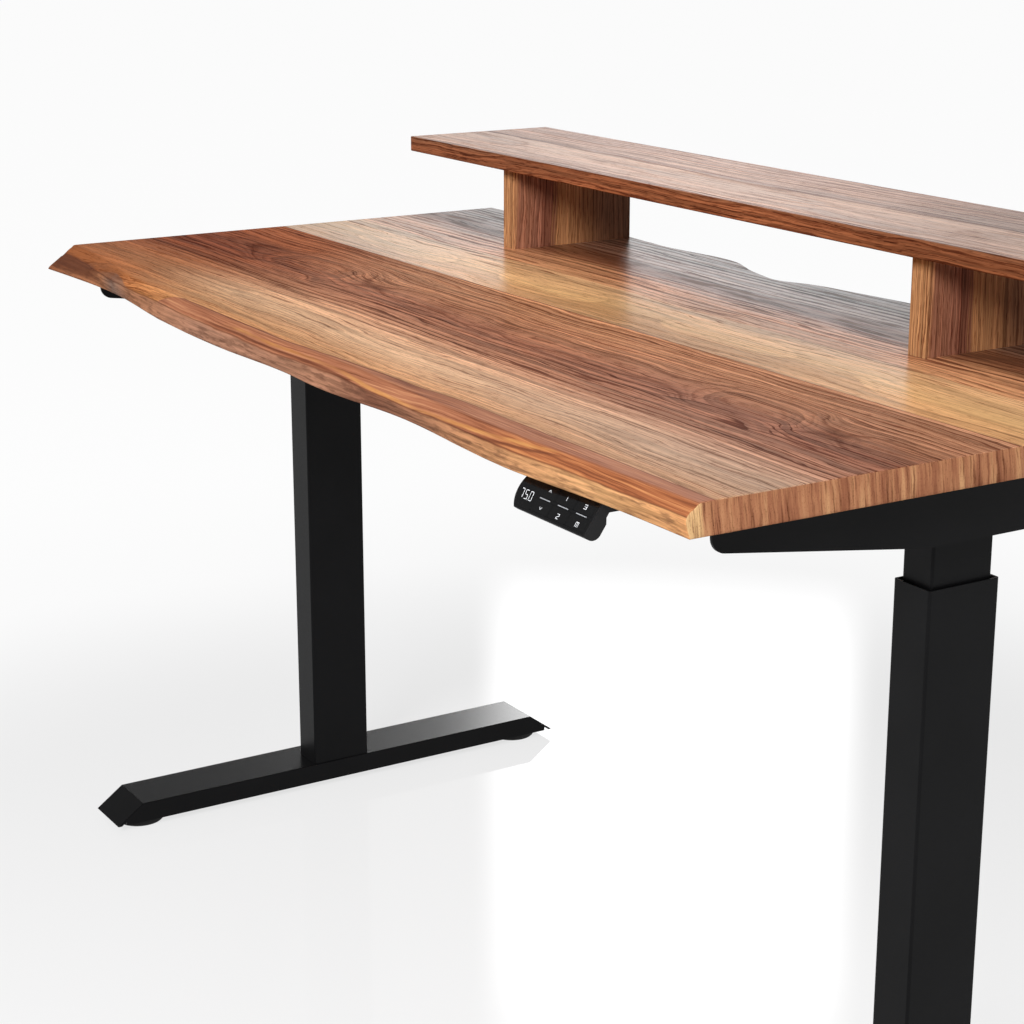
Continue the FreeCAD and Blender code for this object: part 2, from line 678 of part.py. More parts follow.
def gearbox():
    """Worm gearbox on the head's floor, with the spindle's journal in its bore."""
    x0 = COLUMN_X - GEARBOX_INBOARD
    x1 = COLUMN_X + GEARBOX_OUTBOARD
    half = GEARBOX_DEPTH / 2
    case = box(x0, x1, -half, half, HEAD_FLOOR_TOP, HEAD_FLOOR_TOP + GEARBOX_HEIGHT)
    case = case.makeFillet(GEARBOX_FILLET, edges_along(case, UP))
    wing = GEARBOX_FLANGE_DEPTH / 2
    flange = box(x0, x1, -wing, wing, HEAD_FLOOR_TOP, HEAD_FLOOR_TOP + GEARBOX_FLANGE)
    case = case.fuse(flange).removeSplitter()
    seat_top = HEAD_FLOOR_TOP + BEARING_HEIGHT
    pocket = rod(COLUMN_X, 0, HEAD_FLOOR_TOP, seat_top, BEARING_RADIUS + SEAT_CLEARANCE)
    bore_top = seat_top + JOURNAL_IN_GEARBOX + SLIDE_CLEARANCE
    bore = rod(COLUMN_X, 0, HEAD_FLOOR_TOP, bore_top, JOURNAL_RADIUS + RUNNING_CLEARANCE)
    holes = [bolt_hole(seat, way, BOLT_RADIUS, BOLT_LENGTH) for seat, way in gearbox_bolts()]
    return cut_all(case, [pocket, bore] + holes)


def motor():
    """Motor lying along the desk against the gearbox, with its end cap."""
    face = COLUMN_X - GEARBOX_INBOARD
    inboard = Vector(-1, 0, 0)
    can = Part.makeCylinder(MOTOR_RADIUS, MOTOR_LENGTH, Vector(face, 0, MOTOR_Z), inboard)
    cap_start = Vector(face - MOTOR_LENGTH, 0, MOTOR_Z)
    cap = Part.makeCylinder(MOTOR_CAP_RADIUS, MOTOR_CAP_LENGTH, cap_start, inboard)
    return can.fuse(cap)


def column_head():
    """Steel tray on top of the column: floor, front, back and outer walls."""
    x0 = COLUMN_X - HEAD_INBOARD
    half = HEAD_DEPTH / 2
    tray = box(x0, ARM_INNER, -half, half, HEAD_BOTTOM, FRAME_HEIGHT)
    inside = half - HEAD_WALL
    hollow = box(x0, ARM_INNER - HEAD_WALL, -inside, inside, HEAD_FLOOR_TOP, FRAME_HEIGHT)
    way = rod(COLUMN_X, 0, HEAD_BOTTOM, HEAD_FLOOR_TOP, SPINDLE_COLLAR_RADIUS + COLLAR_HOLE_CLEARANCE)
    bolts = gearbox_bolts() + arm_bolts() + rail_bolts()
    holes = [bolt_hole(seat, direction, BOLT_RADIUS, BOLT_LENGTH) for seat, direction in bolts]
    return cut_all(tray, [hollow, way] + holes)


def side_arm(side):
    """Tapered channel under the left (-1) or right (1) end of the top, open below and at its ends.

    The two arms are the same part: the web on the user's right runs the whole length, the other is shorter.
    """
    x0 = ARM_INNER if side > 0 else -ARM_OUTER
    x1 = x0 + ARM_WIDTH
    half = TOP_DEPTH / 2 - ARM_INSET
    tip = FRAME_HEIGHT - ARM_TIP_DEPTH
    low = FRAME_HEIGHT - ARM_DEPTH
    profile = [
        (-half, FRAME_HEIGHT),
        (half, FRAME_HEIGHT),
        (half, tip),
        (ARM_LEVEL / 2, low),
        (-ARM_LEVEL / 2, low),
        (-half, tip),
        (-half, FRAME_HEIGHT),
    ]
    outline = Part.makePolygon([Vector(x0, y, z) for y, z in profile])
    arm = Part.Face(outline).extrude(Vector(ARM_WIDTH, 0, 0))
    tips = edges_along(arm, Vector(1, 0, 0), lambda middle: abs(middle.z - tip) < ARM_SHEET / 10)
    arm = arm.makeFillet(ARM_CORNER, tips)
    roof = FRAME_HEIGHT - ARM_SHEET
    spaces = [box(x0 + ARM_SHEET, x1 - ARM_SHEET, -half, half, low, roof)]
    for y in (-half, half - ARM_SHORT_WEB):
        spaces.append(box(x0, x0 + ARM_SHEET, y, y + ARM_SHORT_WEB, low, roof))
    holes = [bolt_hole(seat, way, BOLT_RADIUS, BOLT_LENGTH) for seat, way in arm_bolts()]
    holes += [clamp_hole(x, y) for x, y in arm_screw_points()]
    if side < 0:
        holes = [mirrored(hole) for hole in holes]
    return cut_all(arm, spaces + holes)


def cross_rail(side):
    """Rectangular tube between the column heads, at the front (-1) or back (1)."""
    end = ARM_INNER - HEAD_WALL
    near = side * RAIL_INNER
    far = side * (RAIL_INNER + RAIL_DEPTH)
    y0, y1 = sorted((near, far))
    low = RAIL_Z - RAIL_HEIGHT / 2
    high = RAIL_Z + RAIL_HEIGHT / 2
    tube = box(-end, end, y0, y1, low, high)
    hollow = box(-end, end, y0 + RAIL_WALL, y1 - RAIL_WALL, low + RAIL_WALL, high - RAIL_WALL)
    bolts = [(seat, way) for seat, way in rail_bolts() if way.y == side]
    holes = [bolt_hole(seat, way, BOLT_RADIUS, BOLT_LENGTH) for seat, way in bolts]
    return cut_all(tube, [hollow] + holes + [mirrored(hole) for hole in holes])


def frame_bolts():
    """Like bolts of both heads: gearboxes, arms and rails."""
    bolts = []
    for seat, way in gearbox_bolts() + arm_bolts() + rail_bolts():
        piece = bolt(seat, way, BOLT_RADIUS, BOLT_LENGTH, BOLT_HEAD_RADIUS, BOLT_HEAD)
        bolts += [piece, mirrored(piece)]
    return Part.makeCompound(bolts)


def wood_screws():
    """Like screws that hold the arms, the control box and the keypad to the top."""
    screws = []
    for x, y in wood_screw_points():
        seat = Vector(x, y, CLAMP_BOTTOM)
        screws.append(bolt(
            seat, UP, WOOD_SCREW_RADIUS, WOOD_SCREW_LENGTH, WOOD_SCREW_HEAD_RADIUS, WOOD_SCREW_HEAD
        ))
    return Part.makeCompound(screws)


# Control box

def control_plate():
    """Mounting plate of the control box, with an ear at each end."""
    half = CONTROL_LENGTH / 2 + CONTROL_EAR
    y0 = CONTROL_Y - CONTROL_DEPTH / 2
    plate = box(-half, half, y0, y0 + CONTROL_DEPTH, CLAMP_BOTTOM, FRAME_HEIGHT)
    plate = plate.makeFillet(CONTROL_SCREW_INSET, edges_along(plate, UP))
    return cut_all(plate, [clamp_hole(x, y) for x, y in control_screw_points()])


def socket_blocks(grow):
    """Outer blocks of the mains inlet and the jacks, grown all round by a clearance."""
    back = CONTROL_Y + CONTROL_DEPTH / 2
    low = CONTROL_BOTTOM + CONTROL_WALL + BOARD_POST_HEIGHT + BOARD_THICKNESS
    widths = [INLET_WIDTH] + [JACK_WIDTH] * JACK_COUNT
    high = low + SOCKET_HEIGHT
    mouth = back + SOCKET_PROUD
    front = mouth - SOCKET_LENGTH
    blocks = []
    for place, width in enumerate(widths):
        x = (place - JACK_COUNT / 2) * SOCKET_PITCH
        half = width / 2 + grow
        blocks.append(box(x - half, x + half, front - grow, mouth + grow, low - grow, high + grow))
    return blocks


def control_cover():
    """Moulded tray of the control box, with posts for the board and cut-outs for the sockets."""
    half = CONTROL_LENGTH / 2
    y0 = CONTROL_Y - CONTROL_DEPTH / 2
    y1 = y0 + CONTROL_DEPTH
    tray = box(-half, half, y0, y1, CONTROL_BOTTOM, CLAMP_BOTTOM)
    tray = tray.makeFillet(CONTROL_WALL, edges_along(tray, UP))
    wall = CONTROL_WALL
    floor = CONTROL_BOTTOM + wall
    tray = tray.cut(box(wall - half, half - wall, y0 + wall, y1 - wall, floor, CLAMP_BOTTOM))
    for x, y in board_post_points():
        tray = tray.fuse(rod(x, y, floor - wall / 2, floor + BOARD_POST_HEIGHT, BOARD_POST_RADIUS))
    return cut_all(tray.removeSplitter(), socket_blocks(SLIDE_CLEARANCE))


def board_post_points():
    """Places of the posts under the control board."""
    x = CONTROL_LENGTH / 2 - CONTROL_WALL - BOARD_POST_INSET
    y = CONTROL_DEPTH / 2 - CONTROL_WALL - BOARD_POST_INSET
    return [(i * x, CONTROL_Y + j * y) for i in (-1, 1) for j in (-1, 1)]


def control_board():
    """Circuit board on the cover's posts."""
    half = CONTROL_LENGTH / 2 - CONTROL_WALL - SLIDE_CLEARANCE
    depth = CONTROL_DEPTH / 2 - CONTROL_WALL - SLIDE_CLEARANCE
    low = CONTROL_BOTTOM + CONTROL_WALL + BOARD_POST_HEIGHT
    return box(-half, half, CONTROL_Y - depth, CONTROL_Y + depth, low, low + BOARD_THICKNESS)


def control_sockets():
    """Mains inlet and jacks on the back of the control box, each open to the back."""
    sockets = []
    for block in socket_blocks(0):
        b = block.BoundBox
        wall = SOCKET_WALL
        mouth = box(b.XMin + wall, b.XMax - wall, b.YMin + wall, b.YMax, b.ZMin + wall, b.ZMax - wall)
        sockets.append(block.cut(mouth))
    return Part.makeCompound(sockets)


# Keypad. Its face is drawn flat, with X along it, Y up it and Z out of it, then tilted into place.

def on_face(shape):
    """A piece drawn on the flat face, moved to the tilted keypad."""
    placed = shape.copy()
    placed.Placement = FACE_FRAME.multiply(placed.Placement)
    return placed


def face_prism(grow, end, z0, z1):
    """Prism of the face's outline, grown all round, with its own right end."""
    low = -grow
    high = FACE_HEIGHT + grow
    corners = [Vector(0, low, z0), Vector(end, low, z0), Vector(end, high, z0), Vector(0, high, z0)]
    edges = [straight(a, b) for a, b in zip(corners, corners[1:])]
    left = Vector(-FACE_BULGE - grow, FACE_HEIGHT / 2, z0)
    edges.append(Part.Arc(corners[3], left, corners[0]).toShape())
    return Part.Face(Part.Wire(edges)).extrude(Vector(0, 0, z1 - z0))


def key_slots():
    """Openings of the keys in the face as (left, right, lower, upper), column by column."""
    lower_top = BAND_MIDDLE - KEY_BAND / 2
    upper_low = BAND_MIDDLE + KEY_BAND / 2
    half = (KEY_PITCH - KEY_RIB) / 2
    slots = []
    for column in range(KEY_COLUMNS):
        middle = KEY_FIRST + column * KEY_PITCH
        slots.append((middle - half, middle + half, upper_low, FACE_HEIGHT - FACE_MARGIN))
        slots.append((middle - half, middle + half, FACE_MARGIN, lower_top))
    return slots


def light_bar(column, z0, z1, grow):
    """White bar between the two keys of a column."""
    x = KEY_FIRST + column * KEY_PITCH
    half = LIGHT_BAR_LENGTH / 2 + grow
    wide = LIGHT_BAR_WIDTH / 2 + grow
    return box(x - half, x + half, BAND_MIDDLE - wide, BAND_MIDDLE + wide, z0, z1)


def window_block(z0, z1, grow):
    """Display window at the left end of the face."""
    return box(
        WINDOW_START - grow, WINDOW_START + WINDOW_LENGTH + grow,
        WINDOW_LOW - grow, WINDOW_LOW + WINDOW_HEIGHT + grow, z0, z1
    )


def lower_back_waste(end):
    """What the rounding of the housing's lower back edge takes away."""
    start = -FACE_BULGE - 2 * HOUSING_RIM
    centre = Vector(start, HOUSING_ROUNDING - HOUSING_RIM, HOUSING_ROUNDING - HOUSING_THICKNESS)
    reach = HOUSING_ROUNDING / math.sqrt(2)
    front = centre - Vector(0, HOUSING_ROUNDING, 0)
    back = centre - Vector(0, 0, HOUSING_ROUNDING)
    corner = Vector(start, -HOUSING_RIM, -HOUSING_THICKNESS)
    arc = Part.Arc(front, centre - Vector(0, reach, reach), back).toShape()
    outline = Part.Wire([arc, straight(back, corner), straight(corner, front)])
    return Part.Face(outline).extrude(Vector(end - start, 0, 0))


def right_end_waste(end):
    """What makes the housing's upper back thinner at its right end."""
    high = FACE_HEIGHT + HOUSING_RIM
    points = [
        Vector(END_CUT_START, END_CUT_LOW, -HOUSING_THICKNESS),
        Vector(END_CUT_START, END_CUT_HIGH, -END_CUT_FLOOR),
        Vector(END_CUT_START, high, -END_CUT_FLOOR),
        Vector(END_CUT_START, high, -HOUSING_THICKNESS),
    ]
    outline = Part.makePolygon(points + points[:1])
    return Part.Face(outline).extrude(Vector(end - END_CUT_START, 0, 0))


def keypad_housing():
    """Moulded body of the keypad with its mounting block."""
    end = FACE_LENGTH + HOUSING_END_WALL
    body = face_prism(HOUSING_RIM, end, -HOUSING_THICKNESS, 0)
    body = cut_all(body, [lower_back_waste(end), right_end_waste(end)])
    cap = box(
        FACE_LENGTH + SLIDE_CLEARANCE, end, -HOUSING_RIM, FACE_HEIGHT + HOUSING_RIM, -FACE_THICKNESS,
        HOUSING_END_PROUD
    )
    body = on_face(body.fuse(cap).removeSplitter())
    block_front = KEYPAD_FRONT + KEYPAD_BLOCK_SETBACK
    block = box(
        KEYPAD_X + KEYPAD_BLOCK_INSET, KEYPAD_X + FACE_LENGTH - KEYPAD_BLOCK_INSET,
        block_front, block_front + KEYPAD_BLOCK_DEPTH, FRAME_HEIGHT - KEYPAD_BLOCK_HEIGHT, FRAME_HEIGHT
    )
    head_room = WOOD_SCREW_HEAD_RADIUS + COUNTERBORE_CLEARANCE
    low = FRAME_HEIGHT - KEYPAD_DROP
    recess = face_prism(SEAT_CLEARANCE, FACE_LENGTH + SEAT_CLEARANCE, -FACE_THICKNESS, FACE_HEIGHT)
    pocket = face_prism(-POCKET_LEDGE, FACE_LENGTH - POCKET_LEDGE, -POCKET_DEPTH, 0)
    tools = [on_face(recess), on_face(pocket)]
    for x, y in keypad_screw_points():
        tools.append(clamp_hole(x, y))
        tools.append(rod(x, y, low, CLAMP_BOTTOM, head_room))
    return cut_all(body.fuse(block).removeSplitter(), tools)


def keypad_face():
    """Glossy face plate with openings for the keys, the light bars and the display window."""
    plate = face_prism(0, FACE_LENGTH, -FACE_THICKNESS, 0)
    tools = [box(x0, x1, y0, y1, -FACE_THICKNESS, 0) for x0, x1, y0, y1 in key_slots()]
    tools += [light_bar(column, -FACE_THICKNESS, 0, SEAT_CLEARANCE) for column in range(KEY_COLUMNS)]
    tools.append(window_block(-FACE_THICKNESS, 0, SEAT_CLEARANCE))
    return on_face(cut_all(plate, tools))


def key(slot):
    """Key cap with the flange that keeps it in the face and the stem that presses the board."""
    x0, x1, y0, y1 = slot
    gap = KEY_CLEARANCE
    cap = box(x0 + gap, x1 - gap, y0 + gap, y1 - gap, -KEY_CAP, 0)
    cap = cap.makeFillet(KEY_CORNER, edges_along(cap, UP))
    step = KEY_FLANGE_STEP - gap
    flange = box(x0 - step, x1 + step, y0 - step, y1 + step, -KEY_CAP - KEY_FLANGE, -KEY_CAP)
    bottom = -KEY_CAP - KEY_FLANGE
    stem = rod((x0 + x1) / 2, (y0 + y1) / 2, bottom - KEY_STEM, bottom, KEY_STEM_RADIUS)
    return on_face(cap.fuse(flange).fuse(stem).removeSplitter())


def keypad_board():
    """Circuit board on the floor of the keypad's pocket."""
    inset = POCKET_LEDGE + SLIDE_CLEARANCE
    board = face_prism(-inset, FACE_LENGTH - inset, -POCKET_DEPTH, BOARD_THICKNESS - POCKET_DEPTH)
    return on_face(board)


def key_light_bars():
    """White bars of the face."""
    bars = [light_bar(column, -FACE_THICKNESS, 0, 0) for column in range(KEY_COLUMNS)]
    return Part.makeCompound([on_face(bar) for bar in bars])


def display_window():
    """Lens over the height display."""
    return on_face(window_block(-WINDOW_THICKNESS, 0, 0))


KEY_NAMES = ("key_up", "key_down", "key_1", "key_2", "key_3", "key_memory")
PAIRED_PIECES = {
    "foot": foot,
    "outer_tube": outer_tube,
    "base_plate": base_plate,
    "guide_collar": guide_collar,
    "nut_tube": nut_tube,
    "spindle_nut": spindle_nut,
    "inner_tube": inner_tube,
    "slide_shoe": slide_shoe,
    "spindle": spindle,
    "gearbox": gearbox,
    "motor": motor,
    "column_head": column_head,
}
SINGLE_PIECES = {
    "tabletop": tabletop,
    "riser_board": riser_board,
    "riser_dowels": riser_dowels,
    "foot_bolts": foot_bolts,
    "frame_bolts": frame_bolts,
    "wood_screws": wood_screws,
    "control_plate": control_plate,
    "control_cover": control_cover,
    "control_board": control_board,
    "control_sockets": control_sockets,
    "keypad_housing": keypad_housing,
    "keypad_face": keypad_face,
    "keypad_board": keypad_board,
    "key_light_bars": key_light_bars,
    "display_window": display_window,
}


def build():
    """Makes every piece and writes it to the parts folder."""
    os.makedirs("parts", exist_ok=True)
    for name, make in PAIRED_PIECES.items():
        piece = make()
        export(name + "_right", piece)
        export(name + "_left", mirrored(piece))
    for name, make in SINGLE_PIECES.items():
        export(name, make())
    for name, side in (("left", -1), ("right", 1)):
        export("side_arm_" + name, side_arm(side))
        export("riser_support_" + name, riser_support(side))
    for name, end in (("front", -1), ("back", 1)):
        export("cross_rail_" + name, cross_rail(end))
        pad = levelling_foot(end)
        export("levelling_foot_right_" + name, pad)
        export("levelling_foot_left_" + name, mirrored(pad))
    inserts = [levelling_insert(end) for end in (-1, 1)]
    export("levelling_inserts", Part.makeCompound(inserts + [mirrored(piece) for piece in inserts]))
    bearing = spindle_bearing()
    export("spindle_bearings", Part.makeCompound([bearing, mirrored(bearing)]))
    for name, slot in zip(KEY_NAMES, key_slots()):
        export(name, key(slot))


build()
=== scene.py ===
import json
import math

import bpy
import numpy as np
from mathutils import Matrix, Vector, noise

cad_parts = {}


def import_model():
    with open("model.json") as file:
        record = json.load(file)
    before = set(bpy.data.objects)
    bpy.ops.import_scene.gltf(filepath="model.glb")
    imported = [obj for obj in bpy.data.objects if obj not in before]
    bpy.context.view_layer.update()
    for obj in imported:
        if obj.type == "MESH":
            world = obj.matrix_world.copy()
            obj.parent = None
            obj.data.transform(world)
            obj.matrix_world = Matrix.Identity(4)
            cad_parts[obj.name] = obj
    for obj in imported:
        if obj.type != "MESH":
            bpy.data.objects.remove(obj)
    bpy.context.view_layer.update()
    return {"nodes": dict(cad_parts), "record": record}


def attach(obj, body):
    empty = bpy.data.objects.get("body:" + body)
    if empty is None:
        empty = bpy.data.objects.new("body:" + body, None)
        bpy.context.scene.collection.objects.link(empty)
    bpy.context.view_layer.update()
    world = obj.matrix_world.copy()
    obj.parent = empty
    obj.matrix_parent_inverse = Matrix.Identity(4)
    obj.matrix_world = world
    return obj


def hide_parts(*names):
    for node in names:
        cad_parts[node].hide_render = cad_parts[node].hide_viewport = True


# Looks of the height-adjustable desk, in metres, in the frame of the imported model.

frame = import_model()
nodes = frame["nodes"]

# Sizes repeated from the part's source
TOP_LENGTH = 1.430
TOP_DEPTH = 0.700
TOP_LOW = 0.753
TOP_HIGH = 0.782
CREASE = TOP_HIGH - 0.010
FACE_ORIGIN = Vector((0.469, -0.3675, 0.7231))
FACE_TILT = math.radians(55.5)
SHELF_HIGH = 0.9047
SUPPORTS = (-0.396, 0.390)

# Joint between the two boards of the top
GLUE_LINE = -0.011
GLUE_WIDTH = 0.0014

# Halves of the lengths over which ovals in the wood and shades of the shelf are given
GRAIN_REACH = 0.8
SHELF_REACH = 0.62

# Values between which most of a noise lies
SPREAD = (0.3, 0.7)

# Share of plain white in the floor as the camera sees it, by the desk and far from it, and the distances
# between which it changes
FLOOR_GLOW = (0.80, 0.95)
GLOW_ENDS = (0.8, 2.4)

# Index of the floor's polish, which mirrors at a low angle, and the distances between which it fades
FLOOR_POLISH = 1.25
POLISH_ENDS = (0.9, 1.6)

# Strengths of the surround at its foot and higher up, of the white wall and of the window
SURROUND = (0.14, 0.30)
WALL = 1.6
WINDOW = 3.9


def srgb(r, g, b):
    """Linear colour of an sRGB triple from 0 to 255."""
    def line(v):
        v /= 255
        return v / 12.92 if v <= 0.04045 else ((v + 0.055) / 1.055) ** 2.4
    return (line(r), line(g), line(b), 1.0)


class Nodes:
    """Short way to write the nodes of a material or of the world."""

    def __init__(self, tree):
        self.tree = tree
        self.tree.nodes.clear()

    def put(self, socket, value):
        """Links a socket, or sets its own value."""
        if isinstance(value, bpy.types.NodeSocket):
            self.tree.links.new(value, socket)
        else:
            socket.default_value = value

    def node(self, kind, **settings):
        made = self.tree.nodes.new(kind)
        for key, value in settings.items():
            setattr(made, key, value)
        return made

    def calc(self, operation, a, b=0.0, clamp=False):
        made = self.node("ShaderNodeMath", operation=operation, use_clamp=clamp)
        self.put(made.inputs[0], a)
        self.put(made.inputs[1], b)
        return made.outputs[0]

    def total(self, *terms):
        """Sum of terms, each a value or a pair of a value and its weight."""
        result = None
        for term in terms:
            part = self.calc("MULTIPLY", *term) if isinstance(term, tuple) else term
            result = part if result is None else self.calc("ADD", result, part)
        return result

    def product(self, first, *others):
        for other in others:
            first = self.calc("MULTIPLY", first, other)
        return first

    def share(self, value, reach):
        """Share of the way from minus a reach to plus that reach."""
        return self.calc("DIVIDE", self.calc("ADD", value, reach), 2 * reach, clamp=True)

    def place(self, output="Object"):
        return self.node("ShaderNodeTexCoord").outputs[output]

    def split(self, vector):
        made = self.node("ShaderNodeSeparateXYZ")
        self.put(made.inputs[0], vector)
        return made.outputs[0], made.outputs[1], made.outputs[2]

    def join(self, x, y, z):
        made = self.node("ShaderNodeCombineXYZ")
        for socket, value in zip(made.inputs, (x, y, z)):
            self.put(socket, value)
        return made.outputs[0]

    def stretch(self, vector, scale, shift=(0, 0, 0)):
        made = self.node("ShaderNodeMapping")
        self.put(made.inputs["Vector"], vector)
        made.inputs["Scale"].default_value = scale
        made.inputs["Location"].default_value = shift
        return made.outputs[0]

    def noise(self, vector, scale=1.0, detail=2.0, rough=0.5):
        made = self.node("ShaderNodeTexNoise")
        self.put(made.inputs["Vector"], vector)
        made.inputs["Scale"].default_value = scale
        made.inputs["Detail"].default_value = detail
        made.inputs["Roughness"].default_value = rough
        return made.outputs["Fac"]

    def sway(self, vector, scale, shift=(0, 0, 0), detail=2):
        """Stretched noise about zero."""
        return self.calc("SUBTRACT", self.noise(self.stretch(vector, scale, shift), detail=detail), 0.5)

    def chance(self, value):
        """Three random values that stay the same for the same number."""
        made = self.node("ShaderNodeTexWhiteNoise", noise_dimensions="1D")
        self.put(made.inputs["W"], value)
        return self.split(made.outputs["Color"])

    def fade(self, value, low, high, start=0.0, end=1.0):
        """Smooth change from one value to another between two limits."""
        made = self.node("ShaderNodeMapRange", interpolation_type="SMOOTHSTEP")
        self.put(made.inputs["Value"], value)
        for key, setting in zip(("From Min", "From Max", "To Min", "To Max"), (low, high, start, end)):
            made.inputs[key].default_value = setting
        return made.outputs[0]

    def within(self, value, start, full, last, end):
        """One between two inner limits, fading to nothing at two outer ones."""
        return self.product(self.fade(value, start, full), self.fade(value, last, end, 1.0, 0.0))

    def ramp(self, factor, stops):
        made = self.node("ShaderNodeValToRGB")
        ends = made.color_ramp.elements
        while len(ends) < len(stops):
            ends.new(0.5)
        for end, (position, colour) in zip(ends, sorted(stops)):
            end.position = position
            end.color = (colour,) * 3 + (1.0,) if isinstance(colour, (int, float)) else colour
        self.put(made.inputs[0], factor)
        return made.outputs[0]

    def mix(self, factor, a, b, mode="MIX"):
        made = self.node("ShaderNodeMix", data_type="RGBA", blend_type=mode)
        self.put(made.inputs["Factor"], factor)
        self.put(made.inputs[6], a)
        self.put(made.inputs[7], b)
        return made.outputs[2]

    def times(self, colour, other):
        return self.mix(1.0, colour, other, "MULTIPLY")

    def stain(self, tone, colour, mask, share):
        """Tone with a share of a colour laid over it where the mask is one."""
        return self.mix(self.calc("MULTIPLY", mask, share), tone, colour)

    def curve(self, value, points):
        """Smooth curve through points whose places and heights are from 0 to 1."""
        made = self.node("ShaderNodeFloatCurve")
        line = made.mapping.curves[0]
        line.points[0].location = points[0]
        line.points[1].location = points[-1]
        for point in points[1:-1]:
            line.points.new(*point)
        made.mapping.update()
        self.put(made.inputs["Value"], value)
        return made.outputs[0]


class Shader(Nodes):
    """Material with one principled surface."""

    def __init__(self, name):
        self.material = bpy.data.materials.new(name)
        self.material.use_nodes = True
        super().__init__(self.material.node_tree)
        self.bsdf = self.node("ShaderNodeBsdfPrincipled")
        self.out = self.node("ShaderNodeOutputMaterial")
        self.tree.links.new(self.bsdf.outputs[0], self.out.inputs[0])

    def bump(self, height, distance, strength):
        made = self.node("ShaderNodeBump")
        made.inputs["Distance"].default_value = distance
        made.inputs["Strength"].default_value = strength
        self.put(made.inputs["Height"], height)
        self.put(self.bsdf.inputs["Normal"], made.outputs[0])

    def set(self, **values):
        for key, value in values.items():
            self.put(self.bsdf.inputs[key.replace("_", " ")], value)
        return self.material


def tinted(colour, share):
    """Colour made darker or lighter by a share."""
    return tuple(v * share for v in colour[:3]) + (1.0,)


# Wood. Growth rings are the level lines of a field that climbs across a board and turns where the
# rings lie level with the face, and there a second curve along the grain closes them into ovals.
# In each board "fine" is the number of fine layers in a metre, "rings" the field's height, "tones" the
# colour and "bold" the strength of the lines, all by the place across the grain. "eyes" are the ovals:
# their place across, their half width, their height, and its share by the place along the grain.
# "shades" are shares of the colour, by the share of the way along the board.

FRONT_BOARD = {
    "fine": 205.0,
    "rings": [
        (-0.375, 7.0), (-0.345, 8.8), (-0.315, 10.4), (-0.285, 11.2), (-0.255, 10.6), (-0.230, 9.0),
        (-0.205, 6.7), (-0.180, 4.4), (-0.150, 2.7), (-0.117, 2.1), (-0.085, 2.7), (-0.062, 4.0),
        (-0.005, 9.3),
    ],
    "tones": [
        (-0.375, srgb(200, 138, 88)), (-0.335, srgb(214, 156, 106)), (-0.285, srgb(232, 185, 143)),
        (-0.240, srgb(220, 167, 127)), (-0.210, srgb(192, 132, 96)), (-0.150, srgb(164, 104, 74)),
        (-0.105, srgb(176, 117, 81)), (-0.040, srgb(212, 149, 106)), (-0.005, srgb(212, 149, 108)),
    ],
    "bold": [
        (-0.375, 0.6), (-0.330, 0.4), (-0.285, 0.35), (-0.240, 0.5), (-0.218, 0.9), (-0.170, 1.0),
        (-0.140, 0.9), (-0.117, 0.9), (-0.080, 0.95), (-0.055, 1.0), (-0.005, 1.0),
    ],
    "eyes": [
        (-0.117, 0.062, -5.0, [
            (-0.80, 0.1), (-0.60, 0.2), (-0.50, 0.55), (-0.397, 1.0), (-0.30, 0.5), (-0.24, 0.25),
            (-0.16, 0.4), (-0.09, 0.3), (0.0, 0.42), (0.06, 0.34), (0.13, 0.46), (0.20, 0.34), (0.27, 0.42),
            (0.35, 0.3), (0.41, 0.6), (0.485, 0.95), (0.56, 0.5), (0.61, 0.28), (0.66, 0.42), (0.80, 0.3)]),
        (-0.285, 0.052, 1.8, [
            (-0.80, 0.4), (-0.55, 0.25), (-0.42, 0.7), (-0.36, 0.75), (-0.27, 0.35), (-0.10, 0.3),
            (0.01, 0.65), (0.08, 0.7), (0.17, 0.45), (0.24, 0.55), (0.31, 0.45), (0.50, 0.5),
            (0.80, 0.35)]),
    ],
}
BACK_BOARD = {
    "fine": 185.0,
    "rings": [
        (-0.015, 24.6), (0.020, 25.3), (0.045, 25.6), (0.070, 25.3), (0.096, 24.2), (0.130, 21.1),
        (0.187, 16.0), (0.233, 11.8), (0.375, 0.0),
    ],
    "tones": [
        (-0.015, srgb(212, 160, 110)), (0.020, srgb(218, 166, 114)), (0.045, srgb(228, 180, 124)),
        (0.100, srgb(232, 182, 132)), (0.116, srgb(230, 168, 120)), (0.150, srgb(230, 164, 117)),
        (0.186, srgb(202, 142, 100)), (0.200, srgb(140, 90, 62)), (0.230, srgb(132, 84, 58)),
        (0.244, srgb(146, 106, 84)), (0.375, srgb(132, 97, 78)),
    ],
    "bold": [
        (-0.015, 0.6), (0.010, 0.35), (0.045, 0.3), (0.085, 0.45), (0.105, 0.8), (0.190, 1.0), (0.215, 0.7),
        (0.240, 1.0), (0.375, 1.0),
    ],
    "eyes": [
        (0.045, 0.058, 3.2, [
            (-0.80, 0.3), (-0.62, 0.3), (-0.44, 0.8), (-0.28, 0.3), (-0.13, 0.9), (0.03, 0.3), (0.21, 0.85),
            (0.38, 0.35), (0.55, 0.9), (0.80, 0.3)]),
    ],
}
